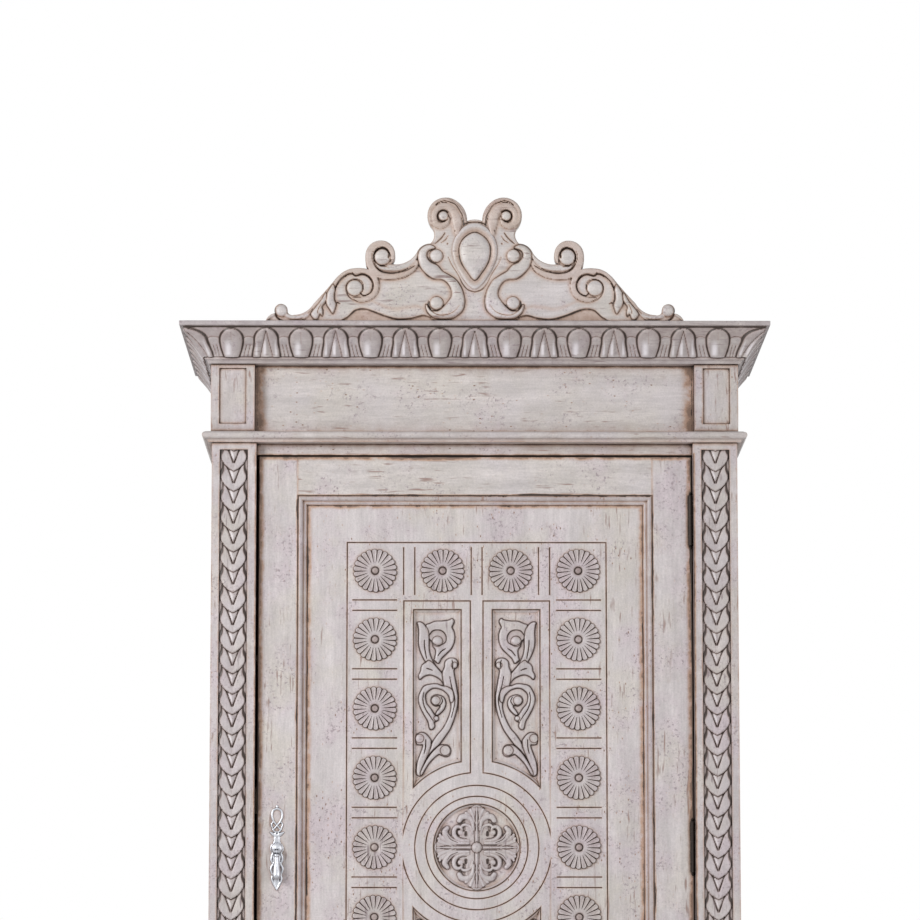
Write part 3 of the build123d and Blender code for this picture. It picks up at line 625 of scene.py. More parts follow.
def painted_wood(name, grain_axis, edge_wear, film=0.0, thin_wax="stain"):
    """Brushed milk paint over wood, rubbed back and glazed with umber wax.

    The paint is dull with a low wax sheen, mottled by hand, streaked along the grain and marked
    with dark specks and grey dashes. Thin wax is tan and thick wax nearly black: it lies in the
    corners and the carving, where it also stands for painted shade, and the carving's high parts
    get painted highlights. edge_wear says how far it stains the edges of plain boards, film how
    much of it was left all over, and thin_wax the colour of its thin edge.
    """
    look = bpy.context.scene.bonnetiere_finish
    add, shader = new_finish(name)
    place = add("TexCoord", out="Object")
    # brush marks are drawn out 9 times along the grain
    stretch = [1.0, 1.0, 1.0]
    stretch[grain_axis] = 0.11
    along = add("VectorMath", {0: place, 1: stretch}, operation="MULTIPLY")
    # patches about 110 mm and 75 mm across
    patch = add("TexNoise", {"Vector": place, "Scale": 9.0, "Detail": 4.0, "Roughness": 0.6})
    other = add("TexNoise", {
        "Vector": add("VectorMath", {0: place, 1: (3.1, 1.7, 5.2)}, operation="ADD"),
        "Scale": 13.0, "Detail": 5.0, "Roughness": 0.62,
    })
    warm = add("MapRange", {
        "Value": patch, "From Min": 0.46 if grain_axis == 2 else 0.34, "From Max": 0.66,
    })
    rose = add("MapRange", {
        "Value": other, "From Min": 0.44 if grain_axis == 2 else 0.54, "From Max": 0.64,
    })
    tint = tuple(look.paint)
    for share, colour in ((rose, look.paint_rose), (warm, look.paint_warm)):
        tint = add("Mix", {0: share, 6: tint, 7: tuple(colour)}, out=2, data_type="RGBA")
    # brush marks about 4 mm wide, strokes about 25 mm wide and a fine tooth of 3 mm
    brush = add("TexNoise", {"Vector": along, "Scale": 250.0, "Detail": 3.0, "Roughness": 0.7})
    stroke = add("TexNoise", {"Vector": along, "Scale": 40.0, "Detail": 4.0, "Roughness": 0.65})
    tooth = add("TexNoise", {"Vector": place, "Scale": 330.0, "Detail": 3.0, "Roughness": 0.75})
    # clouds about 26 mm across, which also make the wax uneven
    cloud = add("TexNoise", {"Vector": place, "Scale": 38.0, "Detail": 5.0, "Roughness": 0.68})
    for field, darkest, lightest in ((brush, 0.91, 1.06), (stroke, 0.84, 1.07),
                                     (tooth, 0.87, 1.07), (cloud, 1.04, 0.94)):
        shade = add("MapRange", {
            "Value": field, "From Min": 0.3, "From Max": 0.7, "To Min": darkest, "To Max": lightest,
        })
        tint = add("Mix", {
            0: 1.0, 6: tint, 7: shade,
        }, out=2, data_type="RGBA", blend_type="MULTIPLY")
    # painted shade within 45 mm of the corners, laid as grey-brown thin wax: darker where other
    # faces are near
    uneven = add("MapRange", {
        "Value": cloud, "From Min": 0.34, "From Max": 0.66, "To Min": 0.25, "To Max": 1.5,
    })
    wide = add("AmbientOcclusion", {"Distance": 0.045}, out="AO", samples=6)
    shaded = add("MapRange", {"Value": wide, "From Min": 0.8, "From Max": 0.34, "To Max": 0.72})
    shade_and_thin_wax = add("Math", {0: shaded, 1: uneven}, operation="MULTIPLY")
    thin, lines = 0.0, []
    if edge_wear > 0:
        # edges rubbed through to tan over about 6 mm
        rounded = add("Bevel", {"Radius": 0.006}, samples=4)
        plain = add("NewGeometry", out="Normal")
        turned = add("VectorMath", {0: rounded, 1: plain}, out="Value", operation="DOT_PRODUCT")
        worn = add("MapRange", {
            "Value": turned, "From Min": 0.998, "From Max": 0.82, "To Max": edge_wear,
        })
        thin = add("Math", {0: worn, 1: uneven}, operation="MULTIPLY")
        for line, fringe in edge_wax_and_shade(add, place, along):
            lines.append(line)
            thin = add("Math", {0: fringe, 1: uneven, 2: thin}, operation="MULTIPLY_ADD")
    marks, dash, pepper = small_marks(add, place, grain_axis, along, patch, other)
    coats = [(pepper, linear("#93878a")), (dash, linear("#81777a"))]
    # thick wax within 9 mm of the corners between pieces, darkening them also as painted shade, and
    # in the hollows of the carving
    corner = add("AmbientOcclusion", {"Distance": 0.009}, out="AO", samples=8)
    corner_wax_and_shade = add("MapRange", {"Value": corner, "From Min": 0.93, "From Max": 0.47})
    wiped = add("MapRange", {
        "Value": cloud, "From Min": 0.3, "From Max": 0.7, "To Min": 0.75, "To Max": 1.15,
    })
    corner_wax_and_shade = add("Math", {0: corner_wax_and_shade, 1: wiped}, operation="MULTIPLY")
    # wax tone of the carving, which also holds painted shade in its hollows and painted highlights,
    # below 0, on its high parts
    carved = add("Math", {
        0: add("Attribute", out="Fac", attribute_name="wax"),
        1: add("MapRange", {
            "Value": cloud, "From Min": 0.3, "From Max": 0.7, "To Min": 0.72, "To Max": 1.25,
        }),
    }, operation="MULTIPLY")
    wax = add("Math", {0: corner_wax_and_shade, 1: carved}, operation="MAXIMUM", use_clamp=True)
    for line in lines:
        wax = add("Math", {0: wax, 1: line}, operation="MAXIMUM")
    # the deepest of the thin wax and of the painted corner shade is brown, and so are the small
    # marks
    both = add("Math", {0: thin, 1: shade_and_thin_wax}, operation="ADD")
    deep = add("Math", {0: both, 1: both}, operation="MULTIPLY")
    deep = add("Math", {0: deep, 1: 0.5}, operation="MULTIPLY")
    deep = add("Math", {0: deep, 1: 0.62}, operation="MINIMUM")
    dotted = add("Math", {0: marks, 1: 0.72 if edge_wear > 0 else 0.4}, operation="MULTIPLY")
    for more in (deep, dotted):
        wax = add("Math", {0: wax, 1: more}, operation="MAXIMUM")
    if film > 0:
        # grey film left all over, thinner where the cloth went
        left = add("MapRange", {
            "Value": cloud, "From Min": 0.3, "From Max": 0.7,
            "To Min": film * 0.55, "To Max": film * 1.45,
        })
        coats.append((left, look.haze))
    # high edges of the carving are rubbed pale, which is also their painted highlight; the painted
    # corner shade and the thin wax lie over all, then the thick
    rubbed = add("Math", {0: carved, 1: -0.5}, operation="MULTIPLY", use_clamp=True)
    # the painted corner shade, in the grey-brown of thin wax
    smoky_shade_and_wax = add("Math", {0: shade_and_thin_wax, 1: 0.75}, operation="MULTIPLY", use_clamp=True)
    tan = add("Math", {0: wax, 1: 1.6, 2: thin}, operation="MULTIPLY_ADD", use_clamp=True)
    tan = add("Math", {0: tan, 1: 0.8}, operation="MULTIPLY")
    thick = add("MapRange", {
        "Value": wax, "From Min": 0.3, "From Max": 0.9,
    }, interpolation_type="SMOOTHSTEP")
    coats += [(rubbed, look.rubbed), (smoky_shade_and_wax, look.smoke_and_shade), (tan, getattr(look, thin_wax)),
              (thick, look.glaze)]
    for share, colour in coats:
        tint = add("Mix", {0: share, 6: tint, 7: tuple(colour)}, out=2, data_type="RGBA")
    sheen = add("MapRange", {
        "Value": brush, "From Min": 0.25, "From Max": 0.75, "To Min": 0.36, "To Max": 0.52,
    })
    depth = add("Math", {0: marks, 1: -1.6, 2: brush}, operation="MULTIPLY_ADD")
    bump = add("Bump", {"Height": depth, "Strength": 0.35, "Distance": 0.0005})
    set_inputs(shader, {"Base Color": tint, "Roughness": sheen, "Normal": bump})


def waxed_inside():
    """Waxed poplar boards inside: plain sawn timber with soft, straight figure."""
    add, shader = new_finish("waxed_poplar_inside")
    place = add("TexCoord", out="Object")
    # rings about 30 mm apart and pores of 2 mm, drawn out along the boards, from side to side
    along = add("VectorMath", {0: place, 1: (0.05, 1.0, 1.0)}, operation="MULTIPLY")
    figure = add("TexWave", {
        "Vector": along, "Scale": 21.0, "Distortion": 9.0, "Detail": 3.0, "Detail Scale": 0.6,
    }, out="Fac", bands_direction="DIAGONAL")
    pores = add("TexNoise", {"Vector": along, "Scale": 420.0, "Detail": 2.0})
    tone = add("Mix", {
        0: figure, 6: linear("#b8a387"), 7: linear("#c0ac90"),
    }, out=2, data_type="RGBA")
    tone = add("Mix", {0: 0.5, 6: tone, 7: pores}, out=2, data_type="RGBA", blend_type="SOFT_LIGHT")
    bump = add("Bump", {"Height": pores, "Strength": 0.2, "Distance": 0.0004})
    set_inputs(shader, {"Base Color": tone, "Roughness": 0.55, "Normal": bump})


def metal(name, bright, dark, low, high, grit):
    """Metal that has dulled in its hollows: its two colours, roughness and marks' size in mm."""
    add, shader = new_finish(name)
    place = add("TexCoord", out="Object")
    cloud = add("TexNoise", {"Vector": place, "Scale": 1000.0 / grit, "Detail": 4.0})
    hollow = add("AmbientOcclusion", {"Distance": 0.006}, out="AO", samples=8)
    dulled = add("MapRange", {"Value": hollow, "From Min": 0.9, "From Max": 0.3})
    tone = add("Mix", {0: dulled, 6: linear(bright), 7: linear(dark)}, out=2, data_type="RGBA")
    rough = add("MapRange", {
        "Value": cloud, "From Min": 0.3, "From Max": 0.7, "To Min": low, "To Max": high,
    })
    bump = add("Bump", {"Height": cloud, "Strength": 0.15, "Distance": 0.0002})
    set_inputs(shader, {"Base Color": tone, "Metallic": 1.0, "Roughness": rough, "Normal": bump})


def catch_plastic():
    """Injection-moulded brown plastic of a furniture catch: even, faintly grained at 1 mm."""
    add, shader = new_finish("moulded_brown_plastic")
    place = add("TexCoord", out="Object")
    grain = add("TexNoise", {"Vector": place, "Scale": 900.0, "Detail": 2.0})
    rough = add("MapRange", {"Value": grain, "To Min": 0.35, "To Max": 0.5})
    set_inputs(shader, {"Base Color": linear("#7c6551"), "Roughness": rough})


def make_finishes():
    """Every finish of the cabinet, by its maker's name."""
    painted_wood("glazed_paint_upright", 2, 0.7)
    painted_wood("glazed_paint_level", 0, 0.7)
    painted_wood("glazed_post", 2, 0.6, film=0.12)
    painted_wood("glazed_rail", 0, 0.35, film=0.14)
    painted_wood("glazed_panel", 2, 0.15)
    painted_wood("glazed_moulding", 2, 0.4, film=0.40)
    painted_wood("glazed_carving_upright", 2, 0.0, film=0.22, thin_wax="smoke_and_shade")
    painted_wood("glazed_leaf_strip", 2, 0.0, film=0.20, thin_wax="smoke_and_shade")
    painted_wood("glazed_crest", 0, 0.0)
    painted_wood("glazed_cornice", 0, 0.0, film=0.46, thin_wax="smoke_and_shade")
    painted_wood("glazed_cornice_returns", 1, 0.0, film=0.46, thin_wax="smoke_and_shade")
    waxed_inside()
    # aged steel of the butt hinges: nearly black, faintly brown
    metal("aged_steel", "#35302d", "#191614", 0.42, 0.62, 1.5)
    # cast and rubbed pewter of the pull: silky faces, grey hollows
    metal("cast_pewter", "#c6c8ce", "#494a50", 0.32, 0.48, 2.5)
    # turned brass of the shelf pins: warm gold, browner in its corners
    metal("turned_brass", "#b9954f", "#5d4525", 0.25, 0.45, 1.0)
    # zinc plate on the catch's strike: pale grey, softly bright
    metal("zinc_plate", "#b5b7ba", "#5f6062", 0.3, 0.5, 1.2)
    catch_plastic()


# ---- crest ----------------------------------------------------------------------------------

# left half of the crest's edge, in mm from its axis and above the cornice: (mark, end) of arcs
CREST_EDGE = (
    ((-394, 11), (-382, 17)), ((-370.2, 35.4), (-358.2, 20)), ((-354, 14.8), (-345, 14)),
    ((-325, 19.5), (-308, 36.4)), ((-288.5, 57.8), (-270, 79.7)), ((-245, 100.5), (-206, 103)),
    ((-209.2, 117), (-208.8, 135)), ((-181, 158.6), (-152.3, 130)),
    ((-153.5, 120), (-158.6, 112.3)), ((-133, 115.5), (-111, 135.5)),
    ((-101, 148), (-85.1, 153.1)), ((-77.5, 169), (-83.8, 185.8)), ((-90.6, 208.5), (-81, 232)),
    ((-57.9, 242.9), (-33, 235)), ((-19.5, 219), (-14.4, 197)), ((-7, 199.4), (0, 200)),
)


def crest_outline():
    """The closed edge of the crest board, both halves."""
    start = (-400.5, 0.0)
    runs = []
    for through, end in CREST_EDGE:
        runs.append(arc(start, through, end))
        start = end
    left = np.vstack(runs)
    right = left[::-1] * (-1, 1)
    base = [(x, 0) for x in np.arange(397, -400, -6.0)]
    return np.vstack([left, [(0, 200)], right, base])


def carve_crest(grain):
    """Height of the left half of the crest board, in mm over its plain face."""
    wood = Ground(-404, 4, -2, 246, grain)
    # foot taken down below the flat field
    foot = [(-251.5, 5), (-243, 9.5), (-235.5, 16.5), (-228, 22.5), (-215, 25), (-201, 22.5),
            (-175, 12.5), (-149.5, 5.5), (-123.5, 6.5), (-99.5, 12.5), (-84, 8)]
    wood.sink(foot + [(-80, -8), (-255, -8)], 3.0, 1.6, 0.38)
    wood.cut(foot, (2, 4, 4.5, 4.5, 4, 2), 0.6)
    wood.cut([(-196, 40), (-158, 25), (-130.5, 28), (-109.5, 30), (-97.5, 25)], (5, 10, 9, 8, 5),
             0.5, line=0.26)
    # top volute: thin outer rim, broad coil and button
    wood.band([(-18, 188.5), (-21.5, 204), (-30.5, 219.5), (-42.5, 231), (-57, 237.5),
               (-71.5, 233.5), (-82, 223), (-86.5, 209), (-84, 195.5), (-77, 187.5)],
              (6, 8, 8, 8, 9, 9, 9, 9, 8, 6), 3.6, tone=0.30)
    wood.band([(-34, 173), (-34, 193.5), (-39, 212.5), (-49.5, 223), (-63, 225), (-74.5, 217),
               (-78, 205), (-75, 192), (-65, 187), (-54.5, 192), (-51, 201.5)],
              (12, 20, 18, 15, 14, 13, 13, 13, 12, 10, 6), 4.6, tone=0.28)
    wood.cut([(-20.5, 190), (-23, 205), (-28.5, 216), (-37, 228), (-47.5, 233), (-58, 235.5),
              (-68, 232.5), (-75, 226.5)], (3, 3.6, 3.2, 2.8, 2.4, 2, 2, 1.5), 2.6)
    wood.ball((-60.5, 206), 9.8, 6.0)
    wood.cut([(-51.5, 213), (-60, 217), (-68.5, 213), (-71.5, 205), (-67, 197), (-59, 195),
              (-52, 199)], (2, 3, 3.4, 3.4, 3.4, 3, 2), 2.4)
    # leaf curl of its neck
    wood.cut([(-57, 173), (-63, 164.5), (-71, 156.5), (-77, 151.5)], (3, 4, 3.4, 2), 2.4)
    wood.cut([(-51, 168), (-56, 160), (-64, 154)], (1.6, 2.6, 1.6), 1.6)
    wood.cut([(-38, 177), (-38.6, 176)], (3.4, 3.4), 2.4)
    wood.cut([(-52, 152.5), (-52.6, 151.5)], (3.4, 3.4), 2.4)
    # middle volute: rim that runs out in a tail, and the strip above the tail
    wood.island([(-191.5, 124.5), (-190, 114), (-182, 102), (-159.5, 98.5), (-137, 101),
                 (-116.5, 111), (-108, 135), (-123.5, 122), (-140.5, 115), (-158, 113),
                 (-170, 109), (-182, 109)], 2.8, 3.0, 0.3)
    wood.band([(-158.5, 111), (-155.5, 124.5), (-159, 138.5), (-167.5, 149.5), (-178.5, 151.5),
               (-192.5, 147), (-201, 133), (-201, 116), (-194, 100.5), (-180.5, 90),
               (-159.5, 87.5), (-137, 92), (-120, 102), (-109.5, 116)],
              (5, 12, 14, 15, 15, 15, 16, 16, 15, 13, 12, 12, 12, 8), 4.6, flat, 0.27)
    wood.ball((-177, 126), 16, 6.2)
    wood.cut([(-165, 124.5), (-164, 133), (-170, 141.5), (-178.5, 143.5), (-188.5, 138.5),
              (-193, 128), (-191, 117.5), (-181.5, 109), (-169, 107.5)],
             (4, 4.4, 4, 3.4, 2.6, 2.2, 2.2, 2.4, 2.6), 3.0)
    wood.cut([(-193.5, 140), (-197, 128), (-194, 114), (-186.5, 102.5), (-175, 96.5),
              (-159.5, 94), (-144, 96), (-130.5, 99.5), (-115, 108)],
             (1, 1.4, 2, 2.8, 3.2, 3.2, 3, 2.6, 2), 2.2)
    # leaf scroll: flat rim round a domed eye, with the line that winds in to it
    wood.band([(-231, 44.5), (-219.5, 42.5), (-206.5, 45), (-194.5, 53.5), (-189, 66.5),
               (-191, 81), (-200.5, 94), (-215, 98.5), (-228, 98.5), (-240, 98.5), (-251.5, 92),
               (-263, 79.5), (-273.5, 65)],
              (4, 9, 11, 12, 12, 12, 12, 12, 12, 11, 10, 9, 7), 4.2, flat, 0.27)
    wood.ball((-230, 65.5), 15.5, 5.2)
    wood.cut([(-219, 55.5), (-214.5, 61.5), (-213.5, 71), (-217.5, 79.5), (-228, 83),
              (-238.5, 80), (-245, 72.5), (-246, 62), (-242, 50.5), (-232.5, 41.5)],
             (2, 1.8, 1.8, 1.8, 2.2, 3, 3.8, 3.6, 3, 1.4), 2.2)
    wood.cut([(-234, 94), (-228, 89.5), (-215, 92.5), (-203.5, 88), (-196, 78), (-194.5, 68),
              (-198.5, 57.5), (-206.5, 51.5), (-213.5, 51), (-219, 55.5)],
             (3.4, 4, 4.2, 4.2, 3.8, 3.4, 3, 2.8, 2.8, 2.4), 3.2)
    wood.cut([(-265.5, 35), (-268, 43), (-268.5, 53.5), (-267, 63.5), (-262.5, 74.5),
              (-254, 84.5), (-243.5, 91.5), (-234, 94)],
             (3, 3.4, 3.4, 3.4, 3.4, 3.2, 3.4, 2.6), 3.0)
    wood.cut([(-266, 37), (-262, 37), (-258, 35.5)], (3.4, 3.6, 1.6), 2.8)
    # lobes of the leaf
    wood.island([(-271.5, 73), (-279.5, 62), (-283.5, 53.5), (-285, 40), (-283, 31.5),
                 (-278, 23.5), (-271.5, 15), (-267, 24), (-265, 34.5), (-268, 41.5),
                 (-268.5, 53.5), (-267, 63.5)], 5.4, 8.0)
    wood.island([(-284.5, 57.5), (-295.5, 40), (-307, 25.5), (-314, 14.5), (-310, 7), (-304, 1),
                 (-299, 7), (-296, 14.5), (-291.5, 10), (-290, 21), (-292, 28.5), (-286.5, 36.5),
                 (-283.5, 43)], 5.0, 7.0)
    wood.island([(-310, 25.5), (-318.5, 16.5), (-326, 9.5), (-332, 3), (-324.5, 5), (-316, 13)],
                3.0, 4.0, 0.7)
    wood.cut([(-294, 34), (-299, 24), (-301, 14)], (1.4, 2, 1.2), 1.2)
    # ball at the end, its neck, and the fillet that runs out of it
    wood.band([(-400, 2), (-395, 9), (-388, 14), (-381, 16)], (9, 10, 10, 6), 3.2)
    wood.ball((-369, 21.5), 12.2, 6.4)
    wood.cut([(-383, 26), (-381.5, 16.5), (-378, 8.5), (-371, 2)], (4, 5, 5, 3.4), 3.4)
    wood.cut([(-376, 8), (-372, 4), (-366, 1)], (2, 3, 2), 2.0)
    wood.band([(-360, 12), (-350, 8), (-334, 8), (-320, 14)], (8, 8, 7, 3), 2.6)
    # S scroll and its two eyes
    wood.island([(-75, 143.5), (-84, 150), (-96, 148), (-106, 139.5), (-109.5, 128),
                 (-108, 114), (-102, 102), (-90.5, 90), (-78.5, 83), (-63, 81.5), (-52.5, 74.5),
                 (-46, 62.5), (-45, 50.5), (-52, 39), (-61.5, 28), (-71.5, 21), (-84, 22.5),
                 (-90.5, 33), (-95, 31.5), (-90.5, 17.5), (-78.5, 7), (-61.5, 3.5), (-40.5, 7),
                 (-23.5, 21), (-19, 38.5), (-21.5, 55.5), (-27, 69.5), (-35.5, 81.5),
                 (-47.5, 90), (-61.5, 98.5), (-71.5, 110), (-84, 116), (-91.5, 126.5),
                 (-89, 137.5)], 6.6, 11.0)
    wood.ball((-74, 128), 13, 7.0)
    wood.ball((-73, 36), 13, 6.4)
    wood.cut([(-84, 21), (-71.5, 13), (-54.5, 13), (-39, 19.5), (-28.5, 33)],
             (1.4, 2.2, 2.2, 1.6, 1), 1.2)
    wood.cut([(-88, 40), (-89, 31), (-84, 23)], (3, 5, 3), 2.6)
    # line that divides the cartouche's body from the scroll, and the one above the shield
    wood.cut([(-51, 126.5), (-44, 111), (-32, 92), (-23.5, 74.5), (-13, 62.5), (2.5, 57.5)],
             (1.4, 2, 2.2, 2.6, 3.4, 3.4), 1.6)
    wood.cut([(-21, 188), (-14, 192.5), (-5, 194), (6, 194)], (3, 3.6, 3.6, 3.6), 2.2)
    return wood


def crest_patches(grain):
    """The crest board with its carved face, rounded edge, sides and flat back."""
    wood = carve_crest(grain)
    outline = crest_outline()
    whole = Ground(-404, 404, 0, 246, grain)
    inset = edge_distance(whole.X, whole.Z, outline)
    inner = np.column_stack([whole.X[inset > 0.9], whole.Z[inset > 0.9]])
    points, faces = fill(outline, inner)
    x, z = points[:, 0], points[:, 1]
    height = wood.at(wood.h, -np.abs(x), z)
    wax = wood.at(wood.crevices(), -np.abs(x), z)
    round_over = 3.2
    edge = np.clip(whole.at(inset, x, z), 0, round_over)
    edge[:len(outline)] = 0
    # the rounded edge keeps a brown line of wax, also painted shade where it rounds away
    wax = np.maximum(wax, 0.46 * np.clip(1.2 - edge / 2.6, 0, 1))
    on_base = z < 0.6
    height -= np.where(on_base, 0, 3.4 * (1 - roll(1 - edge / round_over)))
    face_y = CREST_FACE_Y - height
    patches = [Patch(np.column_stack([x, face_y, z + CORNICE_TOP]), faces, wax)]
    count = len(outline)
    rim = np.column_stack([outline[:, 0], face_y[:count], outline[:, 1] + CORNICE_TOP])
    back = rim.copy()
    back[:, 1] = CREST_BACK_Y
    patches.append(Patch(np.vstack([rim, back]), ring_wall(count, count, 0)))
    points, faces = fill(outline)
    x, z = points[:, 0], points[:, 1] + CORNICE_TOP
    patches.append(Patch(np.column_stack([x, np.full(len(x), CREST_BACK_Y), z]),
                         [f[::-1] for f in faces]))
    return patches


def both_halves(left):
    """A closed line from the marks of its left half, which starts and ends on the axis."""
    return smooth_line(left + [(-x, z) for x, z in left[-2:0:-1]], closed=True)


def carve_cartouche(grain):
    """The shield at the middle of the crest: a rolled rim, a cove and an egg-shaped boss."""
    shield = Ground(-54, 54, 54, 202, grain, level=-1.5)
    rim = both_halves([(0, 192), (-15, 189), (-30, 177), (-41, 155), (-43, 132), (-36, 108),
                       (-24, 86), (-12, 70), (0, 63)])
    egg = both_halves([(0, 174), (-14, 168.5), (-26, 156), (-30.5, 139), (-26.5, 116),
                       (-14, 95), (0, 80)])
    outer = edge_distance(shield.X, shield.Z, rim)
    inner = edge_distance(shield.X, shield.Z, egg)
    swell = 4.8 * roll(np.clip(1 - outer / 7, 0, 1)) - 2.6 * ease(1 + (inner + 1) / 9)
    boss = 1.0 + 9.5 * roll(np.clip(1 - inner / 17, 0, 1)) ** 1.3
    shield.h = np.where(inner > 0, boss, np.where(outer > 0, swell, np.maximum(-1.5, outer)))
    shield.wax = np.maximum(np.clip(1.1 - np.abs(inner) / 2.2, 0, 0.9),
                            0.26 * np.clip(1.4 - np.abs(inner + 5) / 5, 0, 1))
    return shield


# ---- cornice --------------------------------------------------------------------------------

def cornice_section():
    """Section of the cornice from the back of its foot, out and up: (projection, height)."""
    cove = [tuple(p) for p in arc((8, 3), (10, 5.8), (14, 7), 1.5)[1:]]
    foot = [(7.0, 0.0), (8.0, 3.0)] + cove + [(14.0, 7.0), (14.0, 12.4)]
    hollow = [tuple(p) for p in arc((14, 13), (32, 40.8), (55, 64.5), 1.5)] + [(55.0, 64.5)]
    lip = [(55.0, 65.0), (61.0, 65.6), (61.5, 66.4), (61.5, 73.4), (60.8, 74.2)]
    return foot, hollow, lip


def leaf_row(t, up, pitch):
    """Height, 0 to 1, and wax tone of the leaf row, with its painted shade and painted highlights:
    egg-shaped lobes, split leaves, darts between.
    """
    place = (t / pitch) % 1.0
    off_leaf = np.minimum(place, 1 - place) * pitch
    off_egg = pitch / 2 - off_leaf
    # half-widths in mm at each height: the egg is widest a little over halfway
    egg_half = 15 + 7.5 * np.sin(np.clip(up / 0.55, 0, 1) * np.pi / 2)
    egg_half = egg_half * roll(np.clip((up - 0.55) / 0.38, 0, 1))
    leaf_half = (27 - 4 * ease(up / 0.5)) * roll(np.clip((up - 0.55) / 0.40, 0, 1))
    tongue_half = 12 * (1 - up / 0.88)
    egg_in = egg_half - off_egg
    leaf_in = leaf_half - off_leaf
    blade_in = np.minimum(leaf_in, off_leaf - np.maximum(tongue_half, 0))
    crease = np.clip(1 - off_egg / 1.8, 0, 1) * ease((up - 0.30) / 0.15) * ease((0.92 - up) / 0.10)
    egg = 0.25 + 0.75 * roll(1 - np.clip(egg_in / 14, 0, 1)) - 0.12 * crease
    blade = 0.22 + 0.66 * roll(1 - np.clip(blade_in / 6, 0, 1))
    tongue = 0.34 + 0.46 * np.clip(1 - off_leaf / np.maximum(tongue_half, 0.01), 0, 1)
    # darts with rounded tops, each cut by two slots
    gap_mid = (leaf_half + pitch / 2 - egg_half) / 2
    gap_half = np.maximum((pitch / 2 - egg_half - leaf_half) / 2, 0.01)
    off_dart = np.abs(off_leaf - gap_mid) / gap_half
    dart_in = (0.64 - up) * 66 - 9 * (1 - roll(np.clip(off_dart, 0, 1)))
    slot = np.clip(1 - np.abs(np.abs(off_leaf - gap_mid) - 3.6) / 1.5, 0, 1)
    slot = slot * ease((0.42 - up) / 0.08)
    dart = 0.30 * roll(1 - np.clip(dart_in / 5, 0, 1)) * (1 - 0.8 * slot)
    height = np.where(dart_in > 0, dart, 0)
    wax = 0.75 * np.clip(1 - np.abs(dart_in) / 2.2, 0, 1)
    wax = np.maximum(wax, np.where(dart_in > 0, slot, 0))
    on_leaf = leaf_in > 0
    height = np.where(on_leaf, np.where(off_leaf < tongue_half, tongue, blade), height)
    beside_tongue = np.clip(1 - np.abs(off_leaf - tongue_half) / 1.8, 0, 1) * (tongue_half > 0)
    wax = np.where(on_leaf, 0.9 * beside_tongue, wax)
    height = np.where(egg_in > 0, egg, height)
    wax = np.where(egg_in > 0, 0.45 * crease, wax)
    # painted shade: the flanks and heads of the lobes keep a grey film; painted highlight: their
    # lower swell is made bright
    for inset, off, half in ((egg_in, off_egg, egg_half), (leaf_in, off_leaf, leaf_half)):
        outward = off / np.maximum(half, 0.01)
        grey = 0.16 * np.clip(outward ** 2 + ease((up - 0.45) / 0.4), 0, 1)
        wax = np.where(inset > 0, np.maximum(wax, grey), wax)
    side = np.where(place < 0.5, place * pitch, (place - 1) * pitch)
    rise_and_fall = ease(up / 0.12) * ease((0.62 - up) / 0.30)
    for spot, width in ((pitch / 2 - 6.0, 6.0), (-3.0, 3.6), (19.0, 2.8), (-19.0, 2.4)):
        bright = np.clip(1.3 - np.abs(side % pitch - spot % pitch) / width, 0, 1) * rise_and_fall
        wax = np.where((bright > 0.05) & (wax < 0.35), -1.5 * bright, wax)
    for inset in (egg_in, leaf_in):
        wax = np.maximum(wax, np.clip(1.3 - np.abs(inset) / 2.6, -2, 1))
    # the plain hollow above the darts is tinted as thin wax, painted shade under the lip
    wax = np.where(height > 0, wax, np.maximum(wax, 0.20))
    return height, wax


def cornice_length(columns, place, pitch, relief, inner):
    """Sweeps the section: place(t, projection) gives x and y; columns are the leaf row's t.

    inner lists the projections of the level top and underside, from the back.
    """
    foot, hollow, lip = cornice_section()
    hollow = np.array(hollow)
    tangent = np.gradient(hollow, axis=0)
    tangent /= np.linalg.norm(tangent, axis=1)[:, None]
    outward = np.column_stack([tangent[:, 1], -tangent[:, 0]])
    span = np.concatenate([[0], np.cumsum(np.linalg.norm(np.diff(hollow, axis=0), axis=1))])
    T, U = np.meshgrid(columns, span / span[-1])
    leaf, line = leaf_row(T, U, pitch)
    field = soften(leaf, 1) * 0.5 + leaf * 0.5
    # the leaf row's hollows take more wax, which is also painted shade
    hollows = np.clip((soften(leaf, 2) - leaf) * 2.6, -1, 1)
    wax_field = np.where(line < -0.05, line, np.maximum(line, hollows))
    rows = [(p, 0.0, 0.0) for p in inner] + [(p, z, 0.0) for p, z in foot]
    # wax and painted shade lie in the corner under the fillet and where the hollow meets it
    rows[-1] = (*rows[-1][:2], 0.8)
    lip_top = lip[-1][1]
    end_rows = [(p, z, 0.0) for p, z in lip + [(p, lip_top) for p in reversed(inner)]]
    count = len(columns)
    level, upper = ([tuple(np.full(count, v) for v in row) for row in part]
                    for part in (rows, end_rows))
    for k, (p, z) in enumerate(hollow):
        stand = relief * field[k]
        under_lip = 0.9 if k > len(hollow) - 4 else -2.0
        level.append((p + outward[k, 0] * stand, z + outward[k, 1] * stand,
                      np.maximum(wax_field[k], under_lip)))
    level += upper
    points = []
    for p, z, _ in level:
        x, y = place(columns, p)
        points.append(np.column_stack([x, y, z + CORNICE_BOTTOM]))
    wax = np.concatenate([w for _, _, w in level])
    return Patch(np.vstack(points), grid_faces(len(level), count), wax)


def end_cap(patch, columns):
    """Flat end at the last of a length's columns of points."""
    ring = patch.points[columns - 1::columns]
    return Patch(ring, [range(len(ring))])


# the projection in mm, a little way up the hollow, at which the leaf row keeps its true spacing,
# its t at the mitre, how much of it fans round the mitre, and how far the front length runs back
TRUE_OUT = 29.0
MITRE_T = BODY_HALF + TRUE_OUT
MITRE_FAN = 42.0
FRONT_RUN_BACK = 42.0


